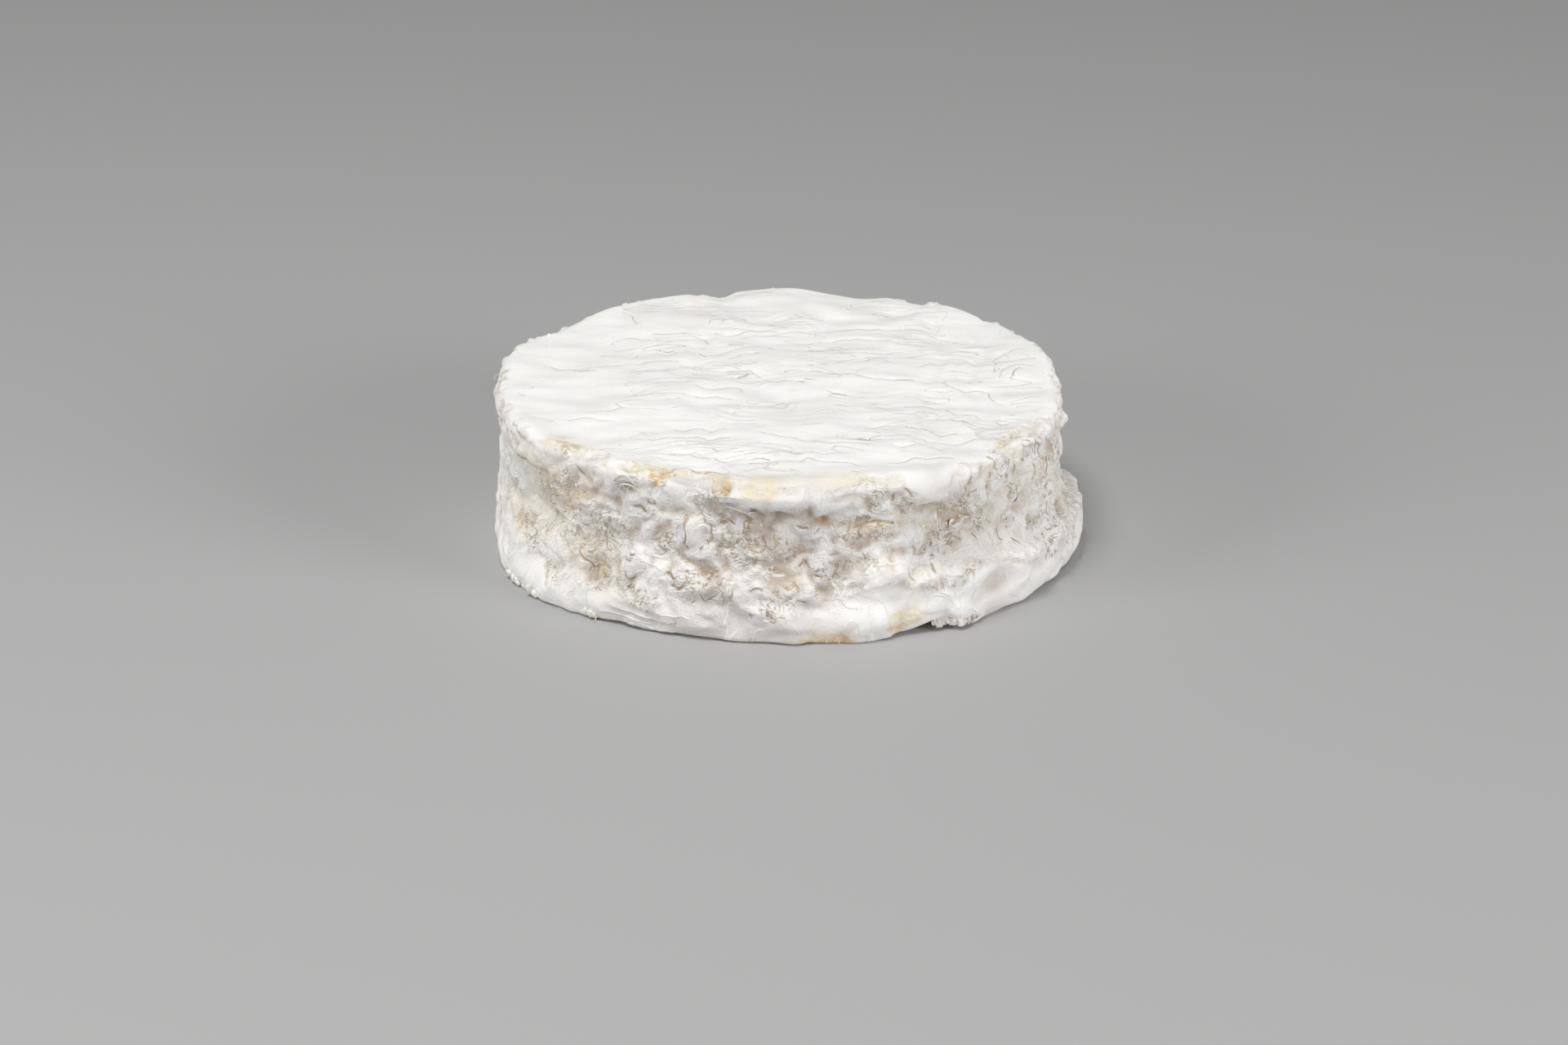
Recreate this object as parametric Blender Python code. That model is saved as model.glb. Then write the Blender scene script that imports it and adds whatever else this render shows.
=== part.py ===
"""A whole Coulommiers: one flat drum of soft cheese in a white, bloomy rind.

Run it with blender --background --python part.py, or from Blender's text editor. Metres, +Z up.
The drum rests on its flat base. Its wall draws in at the waist and swells at the foot, most of all on the
right, and its rim is rounded and lobed. Ripples from the draining mat cross the top from side to side,
and lumps, hollows and folds cover the wall. At the front right the base's edge has lifted and torn.

A bearing is an angle round the drum in degrees: 0 at the front (-Y), 90 at the right (+X).
"""

import math

import bmesh
import bpy
from mathutils import Vector, noise

MM = 0.001

# The plain drum that everything else is laid on. Only the middle of its base stays flat.
RADIUS = 68.0 * MM
HEIGHT = 39.0 * MM
RIM_ROUND = 4.5 * MM
FOOT_ROUND = 2.4 * MM
FLAT_BASE_RADIUS = 56.0 * MM

# The wall's own profile, all round: height, and how far out from the plain drum it stands there.
PROFILE = (
    (0.0 * MM, 1.4 * MM),
    (4.0 * MM, 1.9 * MM),
    (10.0 * MM, 1.0 * MM),
    (20.0 * MM, -1.1 * MM),
    (29.0 * MM, -0.7 * MM),
    (36.0 * MM, 0.2 * MM),
)

# Swellings and hollows of the wall: bearing, height, half-width in degrees, half-height, and how far out.
BROAD_FORMS = (
    (84, 5.0 * MM, 62, 15.0 * MM, 3.4 * MM),  # the foot spreads on the right
    (84, 33.0 * MM, 45, 16.0 * MM, -1.0 * MM),
    (138, 30.0 * MM, 40, 26.0 * MM, 2.3 * MM),
    (184, 30.0 * MM, 34, 24.0 * MM, 0.6 * MM),
    (-98, 4.0 * MM, 40, 14.0 * MM, -1.4 * MM),  # the foot is slight on the left
    (-55, 1.5 * MM, 25, 9.0 * MM, 2.2 * MM),
    (-90, 29.0 * MM, 45, 12.0 * MM, 0.2 * MM),
    (17, 1.5 * MM, 9, 9.0 * MM, 1.5 * MM),
)
SMALL_FORMS = (
    (-2, 29.0 * MM, 14, 5.5 * MM, -2.2 * MM),  # the shaded hollow under the front of the rim
    (-1, 35.8 * MM, 13, 4.0 * MM, 1.2 * MM),  # the lip over it
    (-17, 25.5 * MM, 2.6, 7.5 * MM, 1.9 * MM),  # an upright lump
    (-14, 17.0 * MM, 4, 4.5 * MM, -1.5 * MM),
    (-12, 9.5 * MM, 5, 4.0 * MM, -1.4 * MM),
    (5, 23.5 * MM, 4, 5.0 * MM, -1.4 * MM),
    (10, 13.0 * MM, 5, 6.0 * MM, -1.3 * MM),
    (16, 6.0 * MM, 9, 5.5 * MM, 1.2 * MM),
    (22, 17.0 * MM, 4, 5.0 * MM, 1.7 * MM),
    (28, 15.5 * MM, 3.5, 3.5 * MM, -1.4 * MM),
    (31, 36.0 * MM, 8, 5.0 * MM, 1.6 * MM),  # a smooth lobe under the rim
    (30, 28.0 * MM, 7, 5.0 * MM, -1.5 * MM),
    (45, 23.0 * MM, 9, 5.0 * MM, -1.2 * MM),
    (46, 8.0 * MM, 6, 4.0 * MM, -1.8 * MM),  # the valley in the foot
    (55, 11.0 * MM, 5, 4.5 * MM, 1.3 * MM),
    (69, 19.0 * MM, 16, 3.5 * MM, -1.2 * MM),  # the groove over the spread foot
    (-46, 27.0 * MM, 3, 8.0 * MM, -1.5 * MM),  # an upright cleft
    (-38, 12.0 * MM, 6, 4.5 * MM, -1.5 * MM),
    (-58, 32.0 * MM, 8, 4.0 * MM, 0.9 * MM),
    (-62, 8.0 * MM, 11, 6.0 * MM, 1.0 * MM),
)

# Lobes of the rim: bearing, half-width in degrees, then how far out and how far up each one reaches.
RIM_LOBES = (
    (-60, 14, 0.8 * MM, 0.3 * MM),
    (-42, 10, -1.0 * MM, -0.6 * MM),
    (-25, 6, -1.2 * MM, -1.0 * MM),
    (-17, 8, -1.6 * MM, -0.6 * MM),
    (0, 17, 1.0 * MM, 0.4 * MM),
    (31, 14, 1.2 * MM, 0.6 * MM),
    (52, 11, -0.9 * MM, -0.5 * MM),
    (88, 9, -0.7 * MM, -0.3 * MM),
    (116, 18, 0.9 * MM, 0.3 * MM),
    (134, 16, 1.9 * MM, 0.4 * MM),
    (151, 7, -1.2 * MM, -0.6 * MM),
    (174, 11, -0.8 * MM, -0.2 * MM),
    (187, 11, 1.2 * MM, 0.5 * MM),
    (199, 8, -1.6 * MM, -0.5 * MM),
    (217, 16, 1.2 * MM, 0.3 * MM),
    (236, 8, -0.7 * MM, -0.2 * MM),
    (252, 16, 1.5 * MM, 0.5 * MM),
)

# The base's torn edge lifts slowly from one bearing to the next, and drops back at the flap.
LIFT_FROM, LIFT_TO, LIFT_END = 18.0, 33.0, 36.0
LIFT_RISE = 2.6 * MM
FLAP_BEARING, FLAP_HALF_WIDTH = 39.0, 5.0
FLAP_OUT = 2.0 * MM
EDGE_HEIGHT = 6.0 * MM  # how far up the wall the lift and the flap fade out

# Lumps that cover the whole wall: their size and how far they stand out. They are wider than tall.
LUMPS = ((15.0 * MM, 1.6 * MM), (7.5 * MM, 1.9 * MM), (4.6 * MM, 1.3 * MM))
LUMP_SQUAT = 0.8

# Ripples of the top: how far apart they run, how high they stand and how far they stray.
RIPPLE_PITCH = 6.2 * MM
RIPPLE_HEIGHT = 0.6 * MM
RIPPLE_STRAY = ((30.0 * MM, 9.0 * MM), (12.0 * MM, 3.0 * MM))
TOP_WAVES = ((32.0 * MM, 1.6 * MM), (12.0 * MM, 0.8 * MM))

# Folds that cross the ripples from front to back: where, how wide and how deep.
TOP_FOLDS = (
    (-18.0 * MM, 3.5 * MM, 0.4 * MM),
    (36.0 * MM, 4.0 * MM, 0.5 * MM),
    (49.0 * MM, 3.5 * MM, 0.4 * MM),
)
FOLD_STRAY = (20.0 * MM, 7.0 * MM)

# The mesh: cells across the top, and rows down the rim, the wall and the foot.
TOP_CELLS = 46
RIM_ROWS = 3
WALL_ROWS = 13
FOOT_ROWS = 3

RIND_COLOUR = (0.87, 0.85, 0.80, 1.0)


def smooth(t):
    """0 up to 0 and 1 from 1 on, level at both ends."""
    t = min(max(t, 0.0), 1.0)
    return t * t * (3.0 - 2.0 * t)


def bell(offset, half_width):
    """1 at no offset, falling smoothly to 0 at the half-width."""
    t = min(abs(offset) / half_width, 1.0)
    return (1.0 - t * t) ** 2


def turn(bearing, other):
    """The signed angle from one bearing to another, from -180 to 180."""
    return (bearing - other + 180.0) % 360.0 - 180.0


def wavy(point, size, seed):
    """Smooth noise of about -1 to 1, whose lumps are as wide as size."""
    return noise.noise(point / size + Vector((seed, 17.3 * seed, 5.1)))


def profile_out(height):
    """How far the wall's own profile stands out at a height, joined smoothly from entry to entry."""
    for (low, a), (high, b) in zip(PROFILE, PROFILE[1:]):
        if height <= high:
            return a + (b - a) * smooth((height - low) / (high - low))
    return PROFILE[-1][1]


def forms_out(forms, bearing, height):
    """How far a list of named forms stands out of the wall."""
    return sum(
        out * bell(turn(bearing, at), half_width) * bell(height - level, half_height)
        for at, level, half_width, half_height, out in forms
    )


def lumps_out(point):
    """How far the lumps stand out of the wall. They fade towards the rim and the foot."""
    squat = Vector((point.x * LUMP_SQUAT, point.y * LUMP_SQUAT, point.z))
    strength = 0.3 + 0.7 * bell(point.z - 0.5 * HEIGHT, 0.55 * HEIGHT)
    return strength * sum(out * wavy(squat, size, seed) for seed, (size, out) in enumerate(LUMPS))


def top_relief(point):
    """How far the top stands over its level: slow waves, folds, and the mat's ripples from side to side."""
    flat = Vector((point.x, point.y, 0.0))
    up = sum(rise * wavy(flat, size, 3.0 + seed) for seed, (size, rise) in enumerate(TOP_WAVES))
    fold_size, fold_stray = FOLD_STRAY
    across = point.x + fold_stray * wavy(flat, fold_size, 8.0)
    up -= sum(depth * bell(across - at, width) for at, width, depth in TOP_FOLDS)
    stray = sum(shift * wavy(flat, size, 6.0 + seed) for seed, (size, shift) in enumerate(RIPPLE_STRAY))
    strength = 0.75 + 0.6 * wavy(flat, 30.0 * MM, 9.0)
    return up + RIPPLE_HEIGHT * strength * math.sin(math.tau * (point.y + stray) / RIPPLE_PITCH)


def rim_lobes(bearing):
    """How far out and how far up the rim reaches at a bearing."""
    shares = [(bell(turn(bearing, at), half_width), out, up) for at, half_width, out, up in RIM_LOBES]
    return sum(share * out for share, out, _ in shares), sum(share * up for share, _, up in shares)


def base_lift(bearing):
    """How far the torn edge of the base stands over what the cheese rests on."""
    if turn(bearing, LIFT_TO) < 0.0:
        return LIFT_RISE * smooth(turn(bearing, LIFT_FROM) / (LIFT_TO - LIFT_FROM))
    return LIFT_RISE * (1.0 - smooth(turn(bearing, LIFT_TO) / (LIFT_END - LIFT_TO)))


def shaped(point):
    """Where a point of the plain drum lies on the cheese."""
    reach = math.hypot(point.x, point.y)
    if reach <= FLAT_BASE_RADIUS and point.z == 0.0:
        return point
    bearing = math.degrees(math.atan2(point.x, -point.y))
    outward = Vector((math.sin(math.radians(bearing)), -math.cos(math.radians(bearing)), 0.0))

    by_edge = smooth(reach / RADIUS)  # 0 in the middle, 1 at the wall
    by_rim = smooth((point.z / HEIGHT - 0.4) / 0.6)
    on_wall = smooth((reach - RADIUS + RIM_ROUND) / RIM_ROUND) * smooth(point.z / FOOT_ROUND)
    on_top = smooth((point.z - HEIGHT + RIM_ROUND) / RIM_ROUND)
    on_edge = bell(point.z, EDGE_HEIGHT) * smooth((reach - FLAT_BASE_RADIUS) / (RADIUS - FLAT_BASE_RADIUS))

    lobe_out, lobe_up = rim_lobes(bearing)
    out = by_edge * (profile_out(point.z) + forms_out(BROAD_FORMS, bearing, point.z) + lobe_out * by_rim)
    out += on_wall * (forms_out(SMALL_FORMS, bearing, point.z) + lumps_out(point))
    out += on_edge * FLAP_OUT * bell(turn(bearing, FLAP_BEARING), FLAP_HALF_WIDTH)
    up = on_top * (top_relief(point) + lobe_up * by_edge**4) + on_edge * base_lift(bearing)
    return point + outward * out + Vector((0.0, 0.0, up))


def disc_point(x, y):
    """A point of the square from -1 to 1, drawn in to the unit disc: its outer rings become circles."""
    if abs(y) > abs(x):
        y, x = disc_point(y, x)
        return x, y
    if x == 0.0:
        return 0.0, 0.0
    angle = 0.25 * math.pi * y / x
    rounding = x * x
    return x + (x * math.cos(angle) - x) * rounding, y + (x * math.sin(angle) - y) * rounding


def drum_levels():
    """The radius and height of each row of the plain drum, from under the top's edge to the flat base."""
    for step in range(1, RIM_ROWS + 1):
        angle = 0.5 * math.pi * step / RIM_ROWS
        yield RADIUS - RIM_ROUND * (1.0 - math.sin(angle)), HEIGHT - RIM_ROUND * (1.0 - math.cos(angle))
    for step in range(1, WALL_ROWS + 1):
        yield RADIUS, HEIGHT - RIM_ROUND + (FOOT_ROUND + RIM_ROUND - HEIGHT) * step / WALL_ROWS
    for step in range(1, FOOT_ROWS + 1):
        angle = 0.5 * math.pi * step / FOOT_ROWS
        yield RADIUS - FOOT_ROUND * (1.0 - math.cos(angle)), FOOT_ROUND * (1.0 - math.sin(angle))
    yield FLAT_BASE_RADIUS, 0.0


def plain_drum():
    """A closed drum: a round sheet of quads for the top, rows extruded from its edge, and one flat base."""
    drum = bmesh.new()
    bmesh.ops.create_grid(drum, x_segments=TOP_CELLS, y_segments=TOP_CELLS, size=1.0)
    for vert in drum.verts:
        x, y = disc_point(vert.co.x, vert.co.y)
        vert.co = Vector((x, y, 0.0)) * (RADIUS - RIM_ROUND) + Vector((0.0, 0.0, HEIGHT))
    edge = [e for e in drum.edges if e.is_boundary]
    for radius, height in drum_levels():
        made = bmesh.ops.extrude_edge_only(drum, edges=edge)["geom"]
        edge = [e for e in made if isinstance(e, bmesh.types.BMEdge) and e.is_boundary]
        for vert in {v for e in edge for v in e.verts}:
            x, y = Vector((vert.co.x, vert.co.y)).normalized() * radius
            vert.co = Vector((x, y, max(height, 0.0)))
    bmesh.ops.contextual_create(drum, geom=edge)
    bmesh.ops.recalc_face_normals(drum, faces=drum.faces)
    return drum


def centre(mesh):
    """Moves the mesh so that the origin is under the middle of its box."""
    low = Vector(min(v.co[i] for v in mesh.vertices) for i in range(3))
    high = Vector(max(v.co[i] for v in mesh.vertices) for i in range(3))
    for vert in mesh.vertices:
        vert.co -= Vector(((low.x + high.x) / 2, (low.y + high.y) / 2, low.z))


def rind_material():
    """The white, matt rind."""
    material = bpy.data.materials.new("rind")
    material.use_nodes = True
    shader = material.node_tree.nodes["Principled BSDF"]
    shader.inputs["Base Color"].default_value = RIND_COLOUR
    shader.inputs["Roughness"].default_value = 0.8
    shader.inputs["Metallic"].default_value = 0.0
    return material


def make_cheese():
    """The whole cheese, as one object."""
    drum = plain_drum()
    for vert in drum.verts:
        vert.co = shaped(vert.co)
    mesh = bpy.data.meshes.new("cheese")
    drum.to_mesh(mesh)
    drum.free()
    centre(mesh)
    mesh.shade_smooth()
    mesh.materials.append(rind_material())
    cheese = bpy.data.objects.new("cheese", mesh)
    bpy.context.scene.collection.objects.link(cheese)


def main():
    """Clears the scene and makes the cheese."""
    for obj in list(bpy.data.objects):
        bpy.data.objects.remove(obj)
    make_cheese()


main()
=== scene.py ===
"""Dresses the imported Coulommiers: its white rind in full relief and colour, with crumbs, and a plain studio.

Metres throughout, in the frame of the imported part: +Z up, -Y towards the viewer, the cheese resting at Z = 0.
A bearing is an angle round the cheese in degrees: 0 at the front (-Y), 90 at the right (+X).
"""

from __future__ import annotations

import logging
import math
from dataclasses import dataclass
from enum import Enum
from functools import reduce
from typing import Iterable

import bmesh
import bpy
import numpy as np
from mathutils import Matrix, Vector, noise


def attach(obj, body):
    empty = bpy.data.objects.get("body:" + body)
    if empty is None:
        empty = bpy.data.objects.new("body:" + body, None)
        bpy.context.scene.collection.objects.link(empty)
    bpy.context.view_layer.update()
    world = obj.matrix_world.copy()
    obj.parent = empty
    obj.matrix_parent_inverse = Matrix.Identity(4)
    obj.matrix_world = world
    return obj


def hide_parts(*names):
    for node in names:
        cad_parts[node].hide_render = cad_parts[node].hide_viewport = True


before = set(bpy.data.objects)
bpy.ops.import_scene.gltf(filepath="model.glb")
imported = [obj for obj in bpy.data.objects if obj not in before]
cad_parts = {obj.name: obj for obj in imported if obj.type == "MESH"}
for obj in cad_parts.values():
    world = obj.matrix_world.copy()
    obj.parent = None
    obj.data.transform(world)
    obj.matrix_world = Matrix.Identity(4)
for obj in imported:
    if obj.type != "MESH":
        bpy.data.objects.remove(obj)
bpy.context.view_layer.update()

LOG = logging.getLogger("coulommiers")

MM = 0.001
NODE = "cheese"

DEGREE = 1.2 * MM  # the length of one degree of bearing along the wall
FAR = 30.0  # a field's value where no line is near
END_STEEP = 12.0  # how much steeper a stroke's field grows past its ends and away from it

Array = np.ndarray
Colour = tuple[float, float, float, float]
Rows = tuple[tuple[float, ...], ...]
Socket = bpy.types.NodeSocket

FLOAT, VECTOR, COLOUR = "NodeSocketFloat", "NodeSocketVector", "NodeSocketColor"
COLOUR_SHARE, COLOUR_UNDER, COLOUR_OVER, COLOUR_MIXED = 0, 6, 7, 2  # the Mix node's sockets for colours


class Mask(Enum):
    """What is stored for every point of the rind, under these names, for its finish to read."""

    # RIB, RIPPLE and SEAM follow the top's ribs and seams, along which grey painted shade and brown stains are
    # laid.
    RIB = "rib"
    RIPPLE = "ripple"
    SEAM = "seam"
    WORM = "worm"
    # The lower sides of the worm ridges, where the worm lines are laid as painted shadow.
    UNDER = "under"
    # The hollows, painted darker beige: partly their own tint, partly painted shade.
    LOW = "low"
    # The relief's crests, painted whiter as a painted highlight.
    CREST = "crest"
    CURLY = "curly"
    # The web's ridge lines, along which thin white lines are painted as highlights.
    CREASE = "crease"
    # Traced grooves and stains: brown marks, some of them painted shadow lines.
    GROOVE = "groove"
    # Traced ridges, along which thin white lines are painted as highlights.
    RIDGE = "ridge"
    SKIN = "skin"
    # Painted shade: grey laid where shadow falls on the wall, under the lip and under the rim.
    ASH = "painted_shade"
    CREAM = "cream"
    TAN = "tan"
    OCHRE = "ochre"
    RUST = "rust"


def smooth(t: Array) -> Array:
    """0 up to 0 and 1 from 1 on, level at both ends."""
    t = np.clip(t, 0.0, 1.0)
    return t * t * (3.0 - 2.0 * t)


def bell(offset: Array, half_width: float) -> Array:
    """1 at no offset, falling smoothly to 0 at the half-width."""
    t = np.minimum(np.abs(offset) / half_width, 1.0)
    return (1.0 - t * t) ** 2


def turn(bearing: Array, other: float) -> Array:
    """The signed angle from one bearing to another, from -180 to 180."""
    return (bearing - other + 180.0) % 360.0 - 180.0


def directions(bearing: Array) -> Array:
    """The outward direction at each bearing, one row each."""
    angle = np.radians(bearing)
    return np.column_stack((np.sin(angle), -np.cos(angle), np.zeros(len(angle))))


def wavy(points: Array, size: float, seed: float) -> Array:
    """Smooth noise of about -1 to 1 at each point, whose lumps are as wide as size."""
    scaled = points / size + np.array((seed, 17.3 * seed, 5.1))
    return np.fromiter((noise.noise(Vector(p)) for p in scaled.tolist()), float, len(scaled))


def in_mm(*rows: tuple[float, ...]) -> Rows:
    """Rows of millimetres in metres."""
    return tuple(tuple(value * MM for value in row) for row in rows)


@dataclass(frozen=True)
class Form:
    """A swelling or hollow of the wall, or a patch of colour on it."""

    bearing: float
    height: float
    half_width: float
    half_height: float
    out: float

    def at(self, bearing: Array, height: Array) -> Array:
        """How much of the form there is at each bearing and height."""
        across = bell(turn(bearing, self.bearing), self.half_width)
        return self.out * across * bell(height - self.height, self.half_height)


@dataclass(frozen=True)
class Lobe:
    """A lobe of the rim or the foot: how far out and how far up it reaches, or how strongly it shows."""

    bearing: float
    half_width: float
    out: float
    up: float = 0.0

    def share(self, bearing: Array) -> Array:
        """How much of the lobe there is at each bearing."""
        return bell(turn(bearing, self.bearing), self.half_width)


@dataclass(frozen=True)
class Ledge:
    """A step of the wall along a line: what lies on one side of it stands out over the other.

    Args:
        line: the step's height at each of several bearings, in millimetres.
        reach: how far it stands out at each of several bearings, in millimetres.
        soft: the height over which it steps out, in millimetres.
        sunk: the share of the step by which its other side sinks in.
        above: whether the part over the line stands out, like a lip, and not the part under it.
        fade: the height over which the step fades on both sides, in metres.
    """

    line: Rows
    reach: Rows
    soft: float
    sunk: float
    above: bool
    fade: float = 18 * MM

    def at(self, bearing: Array, height: Array) -> Array:
        """Works out the step at many places.

        Args:
            bearing: the bearing of each place.
            height: its height.

        Returns:
            How far the step stands out there, or sinks in where it is below 0.
        """
        line = np.interp(bearing, *zip(*self.line)) * MM
        reach = np.interp(bearing, *zip(*self.reach)) * MM
        side = (height - line) / (self.soft * MM) * (1.0 if self.above else -1.0)
        return reach * (smooth(0.5 + side) - self.sunk) * bell(height - line, self.fade)


@dataclass(frozen=True)
class Stroke:
    """A thin line drawn through points, each given as two numbers.

    Args:
        points: the points. On the wall they are bearings and heights in millimetres, on the top millimetres.
        width: how wide the line is, against the others.
    """

    points: Rows
    width: float = 1.0

    def trace(self, x: Array, y: Array, scale: float) -> tuple[Array, Array]:
        """How far each place lies from the line, and on which side.

        Args:
            x: across, in millimetres.
            y: up, in millimetres.
            scale: the millimetres in one unit of the points' first number.

        Returns:
            The distance in line widths, and a field that crosses 0 along the line and is steep past its ends.
        """
        nearest = np.full(x.shape, np.inf)
        field = np.full(x.shape, FAR)
        last = len(self.points) - 2
        for i, ((x0, y0), (x1, y1)) in enumerate(zip(self.points, self.points[1:])):
            dx, dy = (x1 - x0) * scale, y1 - y0
            length = math.hypot(dx, dy)
            along = ((x - x0 * scale) * dx + (y - y0) * dy) / length
            side = ((x - x0 * scale) * dy - (y - y0) * dx) / length
            before, after = np.maximum(-along, 0.0), np.maximum(along - length, 0.0)
            away = np.hypot(side, np.maximum(before, after)) / self.width
            beyond = before * (i == 0) + after * (i == last)
            steep = (away + END_STEEP * np.maximum(away - 0.8, 0.0)) * (1.0 + END_STEEP * beyond)
            closer = away < nearest
            nearest = np.where(closer, away, nearest)
            field = np.where(closer, np.copysign(steep, side), field)
        return nearest, np.clip(field, -FAR, FAR)


def trace(strokes: Iterable[Stroke], x: Array, y: Array, scale: float) -> tuple[Array, Array]:
    """Traces several strokes at once.

    Args:
        strokes: the strokes.
        x: across, in millimetres.
        y: up, in millimetres.
        scale: the millimetres in one unit of the points' first number.

    Returns:
        The distance from the nearest stroke and its field, as Stroke.trace gives them.
    """
    nearest = np.full(x.shape, np.inf)
    field = np.full(x.shape, FAR)
    for stroke in strokes:
        away, steep = stroke.trace(x, y, scale)
        field = np.where(away < nearest, steep, field)
        nearest = np.minimum(nearest, away)
    return nearest, field


def curved(points: Array, parts: int) -> Array:
    """Draws a smooth curve through points.

    Args:
        points: the points, one row each.
        parts: into how many parts each stretch between two of them is cut.

    Returns:
        The curve's points.
    """
    if len(points) < 3:
        return points
    padded = np.vstack((2.0 * points[:1] - points[1:2], points, 2.0 * points[-1:] - points[-2:-1]))
    before, start, end, after = padded[:-3, None], padded[1:-2, None], padded[2:-1, None], padded[3:, None]
    t = np.arange(parts)[None, :, None] / parts
    curve = 2.0 * start + (end - before) * t
    curve = curve + (2.0 * before - 5.0 * start + 4.0 * end - after) * t**2
    curve = curve + (3.0 * start - before - 3.0 * end + after) * t**3
    return np.vstack((0.5 * curve.reshape(-1, 2), points[-1:]))


def strokes(*rows: tuple[float, ...]) -> tuple[Stroke, ...]:
    """Draws smooth strokes.

    Args:
        rows: for each stroke its width, followed by the two numbers of each point.

    Returns:
        The strokes.
    """
    made = []
    for width, *numbers in rows:
        points = curved(np.array(numbers).reshape(-1, 2), 3)
        made.append(Stroke(tuple(map(tuple, points.tolist())), width))
    return tuple(made)


def forms(*rows: tuple[float, ...]) -> tuple[Form, ...]:
    """Forms from rows of bearing, height, half-width, half-height and reach, the lengths in millimetres."""
    return tuple(Form(b, z * MM, w, h * MM, out * MM) for b, z, w, h, out in rows)


def patches(*rows: tuple[float, ...]) -> tuple[Form, ...]:
    """Patches from rows of bearing, height, half-width, half-height and strength, heights in millimetres."""
    return tuple(Form(b, z * MM, w, h * MM, strength) for b, z, w, h, strength in rows)


def lobes(*rows: tuple[float, ...]) -> tuple[Lobe, ...]:
    """Lobes from rows of bearing, half-width, reach out and reach up, the last two in millimetres."""
    return tuple(Lobe(*row[:2], *(reach * MM for reach in row[2:])) for row in rows)


def tints(*rows: tuple[float, ...]) -> tuple[Lobe, ...]:
    """Lobes of colour along the rim from rows of bearing, half-width and strength."""
    return tuple(Lobe(*row) for row in rows)


def total(items: Iterable[Form | Ledge], bearing: Array, height: Array) -> Array:
    """The sum of several forms at each bearing and height."""
    return sum(item.at(bearing, height) for item in items)


def reach_out(lobes: Iterable[Lobe], bearing: Array) -> Array:
    """How far several lobes reach out in all at each bearing."""
    return sum(lobe.out * lobe.share(bearing) for lobe in lobes)


@dataclass(frozen=True)
class Wave:
    """Random waves in the rind.

    Args:
        pitch: the distance from crest to crest.
        height: how high they stand, or how far they shift what they bend.
        spread: how much the distance varies, as a share of it.
        stretch: how much longer the waves are sideways.
    """

    pitch: float
    height: float
    spread: float = 0.3
    stretch: float = 1.0


@dataclass
class Sheet:
    """A sheet that wraps at its edges, for patterns that repeat without a seam.

    Args:
        width: how far it reaches across before it wraps.
        height: how far it reaches up before it wraps.
        columns: cells across.
        rows: cells up.
        seed: the seed of its random draws.
    """

    width: float
    height: float
    columns: int
    rows: int
    seed: int

    def __post_init__(self) -> None:
        """Works out the wave numbers of the cells."""
        self.random = np.random.default_rng(self.seed)
        self.wave_x = np.fft.rfftfreq(self.columns, self.width / self.columns)[None, :]
        self.wave_y = np.fft.fftfreq(self.rows, self.height / self.rows)[:, None]

    def waves(self, wave: Wave) -> Array:
        """Draws random waves on the sheet's cells, with a spread of 1 about 0.

        Args:
            wave: what they are like.

        Returns:
            The waves.
        """
        white = np.fft.rfft2(self.random.standard_normal((self.rows, self.columns)))
        length = np.hypot(self.wave_x * wave.stretch, self.wave_y) * wave.pitch
        kept = white * np.exp(-0.5 * ((length - 1.0) / wave.spread) ** 2)
        pattern = np.fft.irfft2(kept, (self.rows, self.columns))
        return pattern / pattern.std()

    def worms(self, length: float, steps: int, lean: float) -> Array:
        """Winding ridges of even width, grown from random waves as stripes grow on a skin.

        Args:
            length: the distance from ridge to ridge.
            steps: how long they grow; a short growth leaves them broken and uneven.
            lean: above 0, ridges break up into rings and dots.

        Returns:
            The ridges on the sheet's cells, from about -1 to 1.
        """
        start, vigour, step = 0.25, 0.9, 0.5
        grown = start * self.waves(Wave(length, start, 0.35))
        wave = np.hypot(self.wave_x, self.wave_y) * length
        growth = vigour - (1.0 - wave**2) ** 2
        for _ in range(steps):
            push = np.fft.rfft2(grown + step * (lean * grown**2 - grown**3))
            grown = np.fft.irfft2(push / (1.0 - step * growth), (self.rows, self.columns))
        return grown / np.abs(grown).max()

    def slope(self, pattern: Array) -> Array:
        """How steeply a pattern rises upwards, with a spread of 1 about 0."""
        rise = np.roll(pattern, -1, axis=0) - np.roll(pattern, 1, axis=0)
        return rise / rise.std()

    def at(self, pattern: Array, across: Array, up: Array) -> Array:
        """Reads a pattern between its cells.

        Args:
            pattern: a pattern on the sheet's cells.
            across: how far across each place lies.
            up: how far up it lies.

        Returns:
            The pattern's value at each place.
        """
        x = across / self.width * self.columns
        y = up / self.height * self.rows
        left, low = np.floor(x).astype(int), np.floor(y).astype(int)
        part_x, part_y = x - left, y - low
        left, right = left % self.columns, (left + 1) % self.columns
        low, high = low % self.rows, (low + 1) % self.rows
        bottom = pattern[low, left] * (1.0 - part_x) + pattern[low, right] * part_x
        top = pattern[high, left] * (1.0 - part_x) + pattern[high, right] * part_x
        return bottom * (1.0 - part_y) + top * part_y


def add_grid(columns: int, rows: int) -> bpy.types.Object:
    """Adds a flat grid from -1 to 1, with nothing else selected.

    Args:
        columns: its cells across.
        rows: its cells up.

    Returns:
        The grid.
    """
    bpy.ops.object.select_all(action="DESELECT")
    bpy.ops.mesh.primitive_grid_add(x_subdivisions=columns, y_subdivisions=rows, size=2.0, location=(0, 0, 0))
    return bpy.context.active_object


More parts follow.
